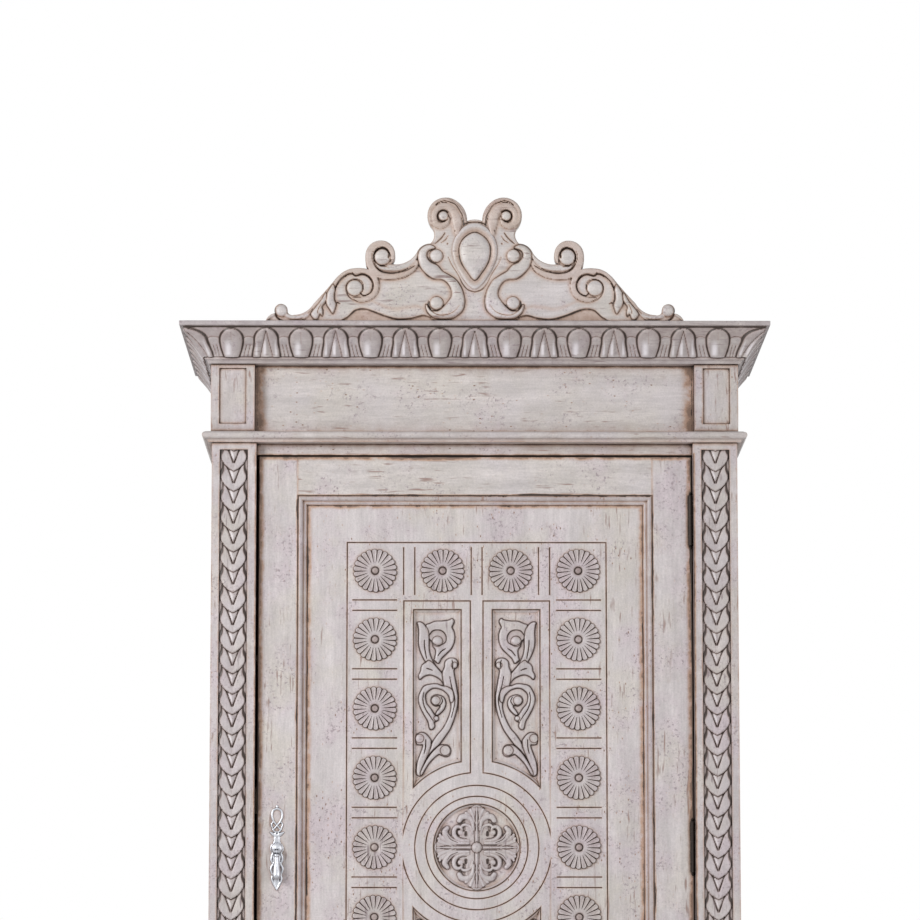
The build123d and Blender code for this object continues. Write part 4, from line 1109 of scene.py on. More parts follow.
def cornice_patches(which, grain, relief):
    """One of the three mitred lengths: "front", "left" or "right"."""
    pitch = MITRE_T / 4
    if which == "front":
        columns = np.linspace(-MITRE_T, MITRE_T, int(2 * MITRE_T / grain) + 1)
        straight = MITRE_T - MITRE_FAN

        def place(t, p):
            # behind the face of the cabinet the length runs on at its full width
            beyond = np.maximum(np.abs(t) - straight, 0) / MITRE_FAN
            half = BODY_HALF + np.maximum(p, 0)
            x = np.minimum(np.abs(t), straight) + beyond * (half - straight)
            return np.sign(t) * x, FRONT_Y - p

        return [cornice_length(columns, place, pitch, relief, (-FRONT_RUN_BACK, 0.0))]
    side = -1 if which == "left" else 1
    length = CORNICE_BACK_Y - FRONT_Y + TRUE_OUT
    columns = np.linspace(0, length, int(length / grain) + 1)

    def place(t, p):
        fanned = t / MITRE_FAN * (MITRE_FAN - TRUE_OUT + p) - p
        y = np.where(t < MITRE_FAN, fanned, t - TRUE_OUT)
        return side * (BODY_HALF + p), FRONT_Y + y

    patch = cornice_length(columns, place, pitch, relief, (0.0,))
    if side < 0:
        patch = Patch(patch.points, [f[::-1] for f in patch.faces], patch.wax)
    return [patch, end_cap(patch, len(columns))]


# ---- leaf strips ----------------------------------------------------------------------------

LEAVES = 39


def leaf_strip(node, grain):
    """Strip of heart-shaped leaves that lap like scales, points down."""
    low, high = box_mm(node)
    middle = (low[0] + high[0]) / 2
    pitch = (high[2] - low[2]) / LEAVES
    strip = Ground(low[0], high[0], low[2], high[2], grain, level=3.0)
    across = np.abs(strip.X - middle)
    # each leaf ends below in two lobes that meet in a point
    lower_edge = 0.45 * across + 0.0009 * across ** 3
    steps = (strip.Z - low[2] - lower_edge + 2.0) / pitch
    part = steps - np.floor(steps)
    # this leaf's own height above its point
    rise = part * pitch + lower_edge
    # half-width of a leaf, which narrows toward its top
    side = 25.0 - 4.4 * ease((part - 0.12) / 0.62)
    blade = 3.6 + 3.8 * (1 - part) ** 0.8 - 0.7 * ((across - 13) / 13) ** 2
    # a flat V facet runs from the point up between the two lobes
    facet_half = 12.0 * np.clip((rise - 12.0) / (pitch - 5.0), 0, 1)
    facet = 4.4 - 1.2 * part + 1.8 * (1 - across / np.maximum(facet_half, 0.01))
    blade = np.where(across < facet_half, facet, blade)
    groove = np.clip(1.15 - np.abs(across - facet_half) / 2.0, 0, 1) * (facet_half > 0.8)
    blade = blade - 1.8 * groove
    # rounded lower edge, and side edges that fall to the ground of the strip
    lip = np.clip(part * pitch / 2.4, 0, 1)
    blade = blade - 3.2 * (1 - roll(1 - lip))
    fall = np.clip((side - across) / 2.6, 0, 1)
    strip.h = np.where(across < side, 4.4 + (blade - 4.4) * roll(1 - fall), 4.2)
    strip.h = np.clip(strip.h, 1.2, 7.9)
    wax = strip.crevices(2.0, 1.0)
    # wax lines beside the facet, under each leaf, where they also paint the shade of the leaf
    # above, and down the gaps at the sides
    wax = np.maximum(wax, groove)
    wax = np.maximum(wax, np.clip(1.4 * (1 - (pitch - part * pitch) / 3.6), 0, 1))
    wax = np.maximum(wax, np.clip(1.3 - np.abs(across - side) / 2.6, 0, 1))
    # painted highlight: the facet's left side is made pale beside its line
    from_line = (strip.X - middle) + facet_half
    pale = np.clip(1 - np.abs(from_line - 3.4) / 2.6, 0, 1) * (facet_half > 3) * (strip.X < middle)
    wax = np.where((wax < 0.3) & (pale > 0), -1.6 * pale, wax)
    rows, columns = strip.h.shape
    points = np.column_stack([strip.X.ravel(), (high[1] - strip.h).ravel(), strip.Z.ravel()])
    return Patch(points, grid_faces(rows, columns), wax.ravel())


# ---- door panel -----------------------------------------------------------------------------

# spacing of the rosettes, their columns' places from the middle, the outer cut line and the
# rings about the medallion that end the lines and the pockets
ROW_PITCH = 132.2
COLUMN_X = 194.2
INNER_X = 65.1
LAYOUT_HALF = (247.7, 583.3)
FRAME_RING = 142.3
POCKET_RING = 166.0
GROOVE_DEPTH = 1.3


def pocket_ring(across, up):
    """Outline of a sunk pocket, from the layout's middle; an arc ends it about the medallion."""
    x0, x1, top = 30.0, 120.5, 453.8
    sweep = np.linspace(math.acos(x0 / POCKET_RING), math.acos(x1 / POCKET_RING), 24)
    points = [(POCKET_RING * math.cos(a), POCKET_RING * math.sin(a)) for a in sweep]
    return np.array(points + [(x1, top), (x0, top)]) * (across, up)


def frame_line(across, up):
    """The cut line round a pocket: three straight sides and an arc."""
    x0, x1, top = 12.1, 139.2, 470.8
    sweep = np.linspace(math.acos(x0 / FRAME_RING), math.acos(x1 / FRAME_RING), 30)
    arc_part = [(FRAME_RING * math.cos(a), FRAME_RING * math.sin(a)) for a in sweep]
    return np.array(arc_part + [(x1, top), (x0, top)]) * (across, up)


def panel_lines():
    """Every line cut into the door panel, from the layout's middle: (points, closed)."""
    w, h = LAYOUT_HALF
    lines = [(np.array([(-w, -h), (w, -h), (w, h), (-w, h)]), True)]
    for across in (-1, 1):
        for up in (-1, 1):
            lines.append((frame_line(across, up), True))
            # short uprights above and below, beside the inner rosettes
            for x in (10.4, 118.4, 139.7):
                lines.append((np.array([(x, 483.5), (x, 573.3)]) * (across, up), False))
        # two level lines in each space between the rosettes of a column
        for k in range(8):
            middle = (k - 3.5) * ROW_PITCH
            for z in (middle - 10, middle + 10):
                lines.append((np.array([(153.0, z), (236.5, z)]) * (across, 1), False))
    for radius in (97.1, 117.9):
        lines.append((circle_path((0, 0), radius), True))
    return lines


def beside(path, gap, closed):
    """The same line moved sideways, with mitred corners."""
    if closed:
        before, after = np.roll(path, 1, 0), np.roll(path, -1, 0)
    else:
        before = np.vstack([2 * path[0] - path[1], path[:-1]])
        after = np.vstack([path[1:], 2 * path[-1] - path[-2]])
    come = path - before
    go = after - path
    come /= np.linalg.norm(come, axis=1)[:, None]
    go /= np.linalg.norm(go, axis=1)[:, None]
    normal = np.column_stack([-(come + go)[:, 1], (come + go)[:, 0]])
    normal /= np.linalg.norm(normal, axis=1)[:, None]
    lean = normal[:, 0] * -come[:, 1] + normal[:, 1] * come[:, 0]
    return path + normal * gap / lean[:, None]


def panel_patches(groove_width):
    """The door panel: cut lines, four pockets and the medallion's round sinking, as one face."""
    low, high = PANEL_LOW, PANEL_HIGH
    centre = np.array([DESIGN_X, DESIGN_Z])
    marks, edges, heights, waxes = [], [], [], []

    def add_path(points, closed, height, wax):
        first = len(marks)
        marks.extend(map(tuple, points))
        heights.extend([height] * len(points))
        waxes.extend([wax] * len(points))
        count = len(points)
        for k in range(count if closed else count - 1):
            edges.append((first + k, first + (k + 1) % count))

    box = np.array([(low[0], low[2]), (high[0], low[2]), (high[0], high[2]), (low[0], high[2])])
    add_path(box, True, 0.0, 0.0)
    half = groove_width / 2
    for line, closed in panel_lines():
        line = line + centre
        add_path(line, closed, -GROOVE_DEPTH, 1.0)
        for gap, wax in ((half, 0.55), (half + 1.2, 0.0)):
            if closed:
                add_path(beside(line, gap, True), True, 0.0, wax)
                add_path(beside(line, -gap, True), True, 0.0, wax)
            else:
                run = (line[1] - line[0]) / np.linalg.norm(line[1] - line[0]) * gap
                longer = line + np.array([-run, run])
                both = np.vstack([beside(longer, gap, False), beside(longer, -gap, False)[::-1]])
                add_path(both, True, 0.0, wax)
    rings = [pocket_ring(a, u) + centre for a in (-1, 1) for u in (-1, 1)]
    rings.append(circle_path(centre, MEDAL_RADIUS, 3.0))
    patches = []
    for ring in rings:
        inward = -1.0 if ring_turns_right(ring) else 1.0
        add_path(ring, True, 0.0, 1.0)
        add_path(beside(ring, -0.9 * inward, True), True, 0.0, 0.8)
        add_path(beside(ring, -2.6 * inward, True), True, 0.0, 0.0)
        # sloping wall with a softened foot, then the floor: (inset, depth, wax)
        steps = ((0.0, 0.0, 1.0), (0.7, 0.7, 0.8), (1.4, 1.4, 0.0), (5.4, 5.7, 0.0),
                 (6.2, 6.0, 0.15), (8.5, 6.0, 0.0))
        count = len(ring)
        loops = []
        for inset, down, _ in steps:
            line = beside(ring, inward * inset, True)
            loops.append(np.column_stack([line[:, 0], np.full(count, PANEL_Y + down), line[:, 1]]))
        wax = np.concatenate([np.full(count, w) for _, _, w in steps])
        faces = ring_walls(count, len(steps))
        patches.append(Patch(np.vstack(loops), faces if inward < 0 else faces[:, ::-1], wax))
        floor_ring = beside(ring, inward * steps[-1][0], True)
        points, floor_faces = fill(floor_ring if inward > 0 else floor_ring[::-1])
        patches.append(Patch(np.column_stack([points[:, 0], np.full(len(points), SUNK_Y),
                                              points[:, 1]]), floor_faces))
    result = delaunay_2d_cdt([Vector(m) for m in marks], edges, [], 0, 1e-4)
    points = np.array([tuple(p) for p in result[0]])
    source = [ids[0] if ids else 0 for ids in result[3]]
    faces = np.array(result[2])
    middles = points[faces].mean(axis=1)
    outside = np.ones(len(faces), bool)
    for ring in rings:
        outside &= edge_distance(middles[:, 0], middles[:, 1], ring) < 0
    face_y = PANEL_Y - np.array(heights)[source]
    patches.insert(0, Patch(np.column_stack([points[:, 0], face_y, points[:, 1]]),
                            faces[outside], np.array(waxes)[source]))
    # edges and back of the panel
    front = np.column_stack([box[:, 0], np.full(4, low[1]), box[:, 1]])
    back = np.column_stack([box[:, 0], np.full(4, high[1]), box[:, 1]])
    patches.append(Patch(np.vstack([front, back]),
                         np.vstack([ring_wall(4, 4, 0), [[7, 6, 5, 4]]])))
    return patches


def ring_turns_right(ring):
    """Whether a closed line runs clockwise."""
    nxt = np.roll(ring, -1, 0)
    return float(np.sum(ring[:, 0] * nxt[:, 1] - nxt[:, 0] * ring[:, 1])) < 0


# ---- rosettes, medallion and vines ----------------------------------------------------------

def rosette_patch(centre, petals, turn):
    """One rosette: round-ended petals, scooped between raised rims, about a button."""
    per = 10
    count = petals * per
    angle = turn + np.arange(count) * math.tau / count
    # 0 along the middle of a petal, 1 on the cut between two
    across = np.abs((np.arange(count) % per) / per * 2 - 1)
    reach = 36.4 + 5.6 * roll(across)
    points, wax = [], []
    # button, the dark ring round it and the smooth hub: (radius, height, wax)
    for radius, height, tone in ((0.0, 4.0, 0.50), (3.4, 3.8, 0.38), (5.6, 3.0, 0.55),
                                 (6.8, 1.0, 1.0), (7.8, 1.2, 0.8), (9.4, 2.5, 0.22),
                                 (12.0, 3.0, 0.0)):
        points.append((np.full(count, radius), np.full(count, height)))
        wax.append(np.full(count, tone))
    # how far out along the petal, and how much of its height is left at its rounded end
    for share, left in ((0.12, 1), (0.26, 1), (0.42, 1), (0.58, 1), (0.72, 1), (0.83, 1),
                        (0.90, 1), (0.955, 0.88), (0.99, 0.45), (1.0, 0)):
        scoop = 1.2 * ease((share - 0.08) / 0.35) * (1 - ease((share - 0.80) / 0.13))
        cut = ease((share - 0.04) / 0.40)
        height = 3.0 + 1.2 * share - scoop * np.clip(1 - (across / 0.74) ** 2, 0, 1)
        height = height - 2.6 * cut * np.clip((across - 0.72) / 0.28, 0, 1) ** 1.3
        height = height * left - 0.3 * (left == 0)
        points.append((12.0 + (reach - 12.0) * share, height))
        tone = cut * np.clip((across - 0.66) / 0.26, 0, 1) + 0.14 * scoop * (across < 0.5)
        wax.append(np.clip(np.maximum(tone, 1.0 * (share > 0.98)), 0, 1))
    x = np.concatenate([r * np.cos(angle) for r, _ in points]) + centre[0]
    z = np.concatenate([r * np.sin(angle) for r, _ in points]) + centre[1]
    y = PANEL_Y - np.concatenate([h for _, h in points])
    faces = ring_walls(count, len(points))
    return Patch(np.column_stack([x, y, z]), faces[:, ::-1], np.concatenate(wax))


def rosette_places():
    """Middles of the twenty-two rosettes."""
    places = [(a * COLUMN_X, k * ROW_PITCH) for a in (-1, 1) for k in range(-4, 5)]
    places += [(a * INNER_X, u * 4 * ROW_PITCH) for a in (-1, 1) for u in (-1, 1)]
    return [(DESIGN_X + x, DESIGN_Z + z) for x, z in places]


def carve_medallion(grain):
    """Four acanthus arms about a button, with scrolls that curl between them."""
    disc = Ground(DESIGN_X - 83, DESIGN_X + 83, DESIGN_Z - 83, DESIGN_Z + 83, grain, level=-1.5)
    disc.floor_shows = True
    disc.wax_and_shade_halo = 0.24
    arms = ((0, 1), (0, -1), (1, 0), (-1, 0))

    def on_arm(points, arm, flip=1):
        """Marks along an arm and to one side of it."""
        ux, uz = arm
        return [(DESIGN_X + ux * a + uz * b * flip, DESIGN_Z + uz * a + ux * b * flip)
                for a, b in points]

    def in_quarter(points, across, up):
        return [(DESIGN_X + across * x, DESIGN_Z + up * z) for x, z in points]

    # plain ground of the carving, thickest at the middle, and the web of each arm
    disc.island(circle_path((DESIGN_X, DESIGN_Z), 40, 8.0), 2.6, 4.0, 0.5)
    for arm in arms:
        disc.band(on_arm([(10, 0), (34, 0), (56, 0), (72, 0)], arm), (30, 44, 46, 22), 2.8, flat)
        for flip in (-1, 1):
            disc.band(on_arm([(40, 4), (57, 13), (65, 20)], arm, flip), (6, 9, 8), 4.6)
            disc.band(on_arm([(46, 3), (62, 8), (72, 12)], arm, flip), (5, 8, 7), 4.4)
            if arm[0] == 0:
                disc.band(on_arm([(34, 6), (50, 9), (58, 18), (58, 28), (51, 33)], arm, flip),
                          (7, 10, 12, 12, 10), 6.2)
                disc.band(on_arm([(26, 8), (36, 10), (42, 16), (43, 25), (39, 30)], arm, flip),
                          (4, 7, 7, 7, 5), 4.8)
            else:
                disc.band(on_arm([(16, 8), (34, 9), (48, 13), (57, 21), (61, 30), (56, 37)],
                                 arm, flip), (7, 10, 12, 13, 12, 9), 6.2)
                disc.cut(on_arm([(36, 9), (49, 15), (56, 24)], arm, flip), (1.4, 2, 1.2), 1.2)
                disc.band(on_arm([(50, 6), (66, 11), (73, 17)], arm, flip), (5, 8, 7), 4.4)
                disc.band(on_arm([(54, 10), (67, 18), (70, 24)], arm, flip), (5, 8, 7), 4.2)
    for across in (-1, 1):
        for up in (-1, 1):
            disc.band(in_quarter([(15, 12), (27, 13), (37, 16.5), (43, 24), (43, 33), (38, 39),
                                  (31, 38.5), (28, 33)], across, up),
                      (5, 7, 9, 10, 9, 8, 7, 5), 5.2)
            disc.ball(in_quarter([(31, 28.5)], across, up)[0], 6.2, 4.4, 0.45)
            disc.cut(in_quarter([(19, 17), (30, 18.5), (37, 24)], across, up), (1.4, 1.8, 1.2), 1.4)
            disc.cut(in_quarter([(20.7, 24), (20.7, 29)], across, up), (6.4, 5.4), 2.4, flat)
    for arm in arms:
        for side in (-4.4, 4.4):
            disc.cut(on_arm([(10, side), (45, side), (72, side * 0.3)], arm), (1.4, 1.6, 1.0),
                     1.2, line=0.45)
        disc.band(on_arm([(8, 0), (45, 0), (76, 0)], arm), (5.8, 5.0, 3.0), 5.2)
        disc.band(on_arm([(78, -7), (79, 0), (78, 7)], arm), (3.5, 5, 3.5), 5.0)
    disc.ball((DESIGN_X, DESIGN_Z), 10.5, 8.6)
    disc.margin(2.4)
    return disc


# the vine of the upper left pocket, from the layout's middle: closed outlines and how high they
# stand, the sunk eye of the upper leaf, round buttons (centre, radius, height) and cut lines
VINE_FORMS = (
    # upper leaf, hooked over its eye
    (((-97, 425), (-90, 428), (-79, 432.5), (-64.5, 433), (-52.5, 435), (-47, 438), (-42.5, 432.5),
      (-45.5, 424.5), (-47, 420.5), (-43.5, 413.5), (-41.5, 401.5), (-43.5, 389.5), (-49, 378.5),
      (-58.5, 369), (-67, 360.5), (-72.5, 351), (-79, 355), (-81.5, 358), (-80, 364),
      (-79, 376.5), (-84, 384.5), (-85.5, 392), (-90, 398.5), (-93, 403.5), (-96.5, 413.5)), 5.0),
    # left leaf and the stalk beside it
    (((-114.5, 429), (-109.5, 431.5), (-103, 429), (-97, 422.5), (-92, 412.5), (-90.5, 396.5),
      (-90.5, 380), (-87.5, 365.5), (-80, 350), (-66, 332.5), (-74, 332), (-86, 344),
      (-97, 353.5), (-103, 363), (-109, 377.5), (-111.5, 392), (-111, 410), (-112.5, 424.5)), 4.8),
    # fan leaf
    (((-97, 353.5), (-103, 350), (-106.5, 344), (-107.5, 336.5), (-111.5, 328), (-108.5, 320),
      (-100.5, 326), (-90, 329), (-79, 326), (-69.5, 320), (-63, 312), (-55, 315), (-60, 328),
      (-66, 332.5), (-80, 348.5), (-91, 357)), 4.8),
    # bud and stem, down to the foot
    (((-62, 344), (-61, 353.5), (-56, 359.5), (-48, 362), (-39.5, 359.5), (-35.5, 352),
      (-38, 344), (-43, 339.5), (-42.5, 330.5), (-40.5, 320), (-36.5, 295.5), (-35.5, 286.5),
      (-36.5, 268.5), (-42, 247), (-50, 226.5), (-60, 211), (-72.5, 194.5), (-84, 183.5),
      (-93.5, 171), (-100.5, 158.5), (-96, 176), (-88.5, 189.5), (-85, 200), (-75.5, 214.5),
      (-64.5, 227.5), (-55, 246), (-50, 262.5), (-49.5, 274.5), (-54, 289), (-60, 298.5),
      (-63.5, 312.5), (-66, 332.5)), 5.4),
    # lower leaf, curled over a round channel
    (((-55, 306), (-67, 309), (-76.5, 312.5), (-90, 311.5), (-100.5, 308), (-106.5, 299.5),
      (-111, 288.5), (-111, 277), (-106.5, 264), (-99.5, 250.5), (-93.5, 240), (-90.5, 227.5),
      (-87, 224), (-82.5, 226), (-79.5, 231.5), (-81, 238.5), (-75.5, 241), (-73, 246),
      (-75.5, 249.5), (-80, 253), (-87.5, 265), (-94.5, 273.5), (-97, 282), (-97, 291.5),
      (-92, 298), (-84, 303), (-74, 303), (-64.5, 299.5), (-57.5, 293.5), (-53.5, 288),
      (-50, 276), (-44, 280.5), (-45.5, 298.5)), 5.2),
    # its curled tip
    (((-88, 279.5), (-86, 286.5), (-79, 291), (-69.5, 290), (-62, 285.5), (-58.5, 276),
      (-60, 267.5), (-64.5, 260), (-72, 253), (-76.5, 251.5), (-79, 254), (-75, 261.5),
      (-70, 268), (-72.5, 271), (-78, 269.5), (-84.5, 273)), 4.8),
    # the two curls at the foot
    (((-117.5, 206), (-115, 214.5), (-106.5, 219.5), (-97, 217), (-87.5, 206), (-86.5, 199),
      (-87.5, 190.5), (-92, 178.5), (-99.5, 160.5), (-104.5, 145), (-106.5, 135.5), (-115, 140),
      (-114, 160.5), (-108, 178.5), (-103, 194), (-107.5, 195), (-114, 196.5)), 4.8),
    (((-72, 194), (-62, 196), (-54, 194), (-49, 185.5), (-51.5, 176), (-58.5, 172.5), (-67, 175),
      (-72, 177), (-80, 171), (-90, 160.5), (-97, 149.5), (-105, 136.5), (-107.5, 142.5),
      (-100.5, 158.5), (-93.5, 171), (-84, 183.5)), 4.8),
)
VINE_EYE = ((-93, 401.5), (-89, 408.5), (-84, 414), (-75.5, 416), (-66.5, 414), (-60.5, 408.5),
            (-57.5, 400.5), (-59, 392), (-64.5, 387.5), (-71, 385), (-80, 387), (-85.5, 393),
            (-90, 396.5))
VINE_BUTTONS = (((-75, 393.5), 10.2, 4.8), ((-78, 280), 8.4, 5.8), ((-77, 246), 4.8, 5.4),
                ((-109, 207.5), 8.2, 5.8), ((-60, 184.5), 9.6, 5.6), ((-42.5, 347.5), 6.0, 6.2))
VINE_CUTS = (
    ((-74, 365.5), (-67, 374.5), (-59, 379.5)),
    ((-100, 395.5), (-99.5, 382.5), (-97, 368), (-95.5, 359.5)),
    ((-96, 341.5), (-90, 340), (-84, 337.5)),
    ((-51.5, 326), (-48, 307.5), (-43, 291), (-41.5, 280.5), (-42.5, 270), (-48, 248)),
    ((-47, 357), (-45.5, 350), (-46.5, 340)),
    ((-100.5, 296), (-102.5, 285.5), (-101.5, 274.5), (-97, 262.5), (-90, 252), (-83, 241)),
    ((-68, 286), (-65, 279.5), (-68, 273), (-71, 270)),
    ((-72.5, 194.5), (-84, 183.5), (-93.5, 171), (-100.5, 158.5)),
    ((-97, 205), (-97.5, 190.5), (-100, 178.5)),
)


def vine_patch(grain):
    """The vine of the upper left pocket."""
    pocket = Ground(DESIGN_X - 119, DESIGN_X - 31, DESIGN_Z + 128, DESIGN_Z + 446, grain, -1.5)
    pocket.floor_shows = True
    pocket.wax_and_shade_halo = 0.30

    def at(points):
        return [(DESIGN_X + x, DESIGN_Z + z) for x, z in points]

    for outline, rise in VINE_FORMS:
        pocket.island(at(outline), rise, 5.0)
        if outline is VINE_FORMS[0][0]:
            pocket.pit(at(VINE_EYE), 2.4)
    for centre, radius, rise in VINE_BUTTONS:
        pocket.ball(at([centre])[0], radius, rise)
    for points in VINE_CUTS:
        pocket.cut(at(points), (1.6, 2.6, 2.4, 1.4), 2.6)
    pocket.margin(2.4)
    return relief_patch(pocket, SUNK_Y, floor=-0.9)


# ---- pendant pull ---------------------------------------------------------------------------

PULL_X = -375.0
PULL_Z = 1045.0


def lathe(profile, origin, count=48):
    """Turned form: (radius, height) marks spun about Z."""
    marks = smooth_line(profile, per=5)
    marks[:, 0] = np.maximum(marks[:, 0], 0.02)
    angle = np.arange(count) * math.tau / count
    points = np.vstack([
        np.column_stack([r * np.cos(angle), r * np.sin(angle), np.full(count, height)])
        for r, height in marks
    ])
    return Patch(points + np.array(origin), ring_walls(count, len(marks)))


def pull_plate_patch(grain):
    """Cast backplate: open ring and knot above the boss, leaf behind the drop."""
    plate = Ground(PULL_X - 17, PULL_X + 17, PULL_Z - 82, PULL_Z + 86, grain, level=-1.5)

    def band(points, widths, rise, section=roll):
        plate.band([(PULL_X + x, PULL_Z + z) for x, z in points], widths, rise, section)

    ring = [(0, 76), (-7.5, 72), (-9.6, 62), (-6.5, 52), (0, 44), (6.5, 37), (9.4, 41)]
    for side in (-1, 1):
        band([(side * x, z) for x, z in ring], (4.6, 4.6, 4.6, 4.2, 3.6, 3.6, 3.2), 2.3)
    for side in (-1, 1):
        band([(side * 9.4, 41), (side * 10.4, 46), (side * 7, 51)], (3.4, 3.6, 3.2), 2.2)
        band([(side * 8, 36), (side * 4, 32), (0, 31)], (3.4, 3.6, 3.6), 2.2)
        band([(0, 24), (side * 7, 27), (side * 13, 31)], (9, 7, 3), 2.2)
        band([(side * 3, 30), (side * 4, 18), (side * 7, 6)], (3, 3, 4), 2.3)
        band([(0, 8), (side * 6, -6), (side * 10.5, -20), (side * 7, -30)], (6, 6, 5, 4), 2.2)
        band([(side * 5, -26), (side * 11, -38), (side * 8, -50)], (5, 5, 4), 2.2)
        band([(side * 4, -46), (side * 9, -56), (side * 5, -68), (0, -78)], (5, 5, 5, 3), 2.2)
    band([(0, 20), (0, -20), (0, -60), (0, -76)], (13, 14, 10, 3), 1.5, flat)
    plate.ball((PULL_X, PULL_Z + 79.5), 3.2, 2.2)
    plate.ball((PULL_X, PULL_Z), 13.0, 2.4)
    return plate


# ---- small fasteners ------------------------------------------------------------------------

def screw_patch(centre, facing, turn):
    """Countersunk slotted screw head, slightly domed; facing is +1 or -1 along X."""
    radius, count = 3.6, 24
    angle = np.arange(count) * math.tau / count + turn
    rings = ((0.0, 0.45), (radius * 0.55, 0.4), (radius * 0.92, 0.18), (radius, 0.0))
    points = []
    for r, h in rings:
        a, b = r * np.cos(angle), r * np.sin(angle)
        # the slot is as wide as a sixth of the head
        in_slot = (np.abs(b) < radius * 0.16) & (r < radius * 0.95)
        points.append(np.column_stack([facing * (h - 0.5 * in_slot), a, b]))
    points = np.vstack(points) + np.array(centre)
    faces = ring_walls(count, len(rings))
    return Patch(points, faces if facing > 0 else faces[:, ::-1])


# ---- stage ----------------------------------------------------------------------------------

def make_stage(studio):
    """Plain pale floor, soft lamps and the camera."""
    scene = bpy.context.scene
    scene.view_settings.view_transform = "Standard"
    mesh = bpy.data.meshes.new("floor")
    # a floor out to 14 m each way, just under the plinth
    reach, low, count = 14.0, -0.0005, 24
    X, Y = np.meshgrid(np.linspace(-reach, reach, count), np.linspace(-reach, reach, count))
    points = np.column_stack([X.ravel(), Y.ravel(), np.full(X.size, low)])
    mesh.from_pydata(points.tolist(), [], grid_faces(count, count).tolist())
    floor = bpy.data.objects.new("floor", mesh)
    scene.collection.objects.link(floor)
    add, shader = new_finish("matt_white_floor")
    set_inputs(shader, {"Base Color": linear("#f2f1ef"), "Roughness": 0.9})
    # plain paint near the cabinet, running out to the white of the room further off
    away = add("VectorMath", {0: add("TexCoord", out="Object")}, out="Value", operation="LENGTH")
    fade = add("MapRange", {
        "Value": away, "From Min": 1.1, "From Max": 3.2,
    }, interpolation_type="SMOOTHSTEP")
    seen = add("LightPath", out=None)
    shown = add("Math", {0: fade, 1: seen["Is Camera Ray"]}, operation="MULTIPLY")
    white = add("Emission", {"Color": (1, 1, 1, 1), "Strength": 1.0})
    mixed = add("MixShader", {0: shown, 1: shader.outputs[0], 2: white})
    floor_paint = bpy.data.materials["matt_white_floor"]
    set_inputs(floor_paint.node_tree.nodes["Material Output"], {"Surface": mixed})
    mesh.materials.append(floor_paint)

    # the room is seen as white, and lights the cabinet plainly
    scene.world = bpy.data.worlds.new("white_room")
    scene.world.use_nodes = True
    room = scene.world.node_tree
    add = partial(add_node, room)
    lit = room.nodes["Background"]
    set_inputs(lit, {"Color": linear("#f4f5f8"), "Strength": 0.42})
    clear = add("Background", {"Color": (1, 1, 1, 1), "Strength": 1.0})
    seen = add("LightPath", out=None)
    direct = add("Math", {0: seen["Is Camera Ray"], 1: seen["Is Glossy Ray"]}, operation="MAXIMUM")
    direct = add("Math", {0: direct, 1: seen["Is Transmission Ray"]}, operation="MAXIMUM")
    both = add("MixShader", {0: direct, 1: lit.outputs[0], 2: clear})
    set_inputs(room.nodes["World Output"], {"Surface": both})

    for name, spot, aim, size, power in (
        ("key_lamp", (-3.4, -3.4, 2.6), (0, -0.2, 1.5), 1.5, studio.key_power),
        ("fill_lamp", (3.6, -3.6, 1.6), (0, -0.2, 1.3), 2.6, studio.fill_power),
    ):
        lamp = bpy.data.lights.new(name, "AREA")
        lamp.shape = "DISK"
        lamp.size = size
        lamp.energy = power
        holder = bpy.data.objects.new(name, lamp)
        holder.location = spot
        holder.rotation_euler = (Vector(aim) - Vector(spot)).to_track_quat("-Z", "Y").to_euler()
        scene.collection.objects.link(holder)

    lens = bpy.data.cameras.new("camera")
    lens.lens = studio.lens
    lens.sensor_width = 36.0
    lens.clip_end = 60.0
    lens.shift_y = 0.04
    camera = bpy.data.objects.new("camera", lens)
    camera.location = studio.camera_place
    camera.rotation_euler = (math.pi / 2 + studio.camera_pitch, 0, studio.camera_turn)
    scene.collection.objects.link(camera)
    scene.camera = camera


# ---- operators: one for each piece or group of like pieces, and one for the stage ------------

class BONNETIERE_OT_stage(bpy.types.Operator):
    """Set up the floor, the lamps, the room and the camera"""
    bl_idname = "bonnetiere.stage"
    bl_label = "Stage"

    def execute(self, context):
        make_stage(context.scene.bonnetiere_studio)
        return {"FINISHED"}


class BONNETIERE_OT_finishes(bpy.types.Operator):
    """Mix every finish of the cabinet"""
    bl_idname = "bonnetiere.finishes"
    bl_label = "Finishes"

    def execute(self, context):
        make_finishes()
        return {"FINISHED"}


FINISH_OF_SLOT = {
    "painted_wood": "painted", "painted_carving": "painted", "inside_wood": "waxed_poplar_inside",
    "hinge_steel": "aged_steel", "pewter": "cast_pewter", "pin_brass": "turned_brass",
    "catch_plastic": "moulded_brown_plastic", "strike_steel": "zinc_plate",
}
# boards whose grain runs from side to side
LEVEL_NODES = ("header_rail", "bottom_rail", "frieze_board", "lower_frieze_board", "door_rail_top",
               "door_rail_bottom", "upper_bead_moulding", "lower_bead_moulding", "base_moulding",
               "plinth_front", "top_board")


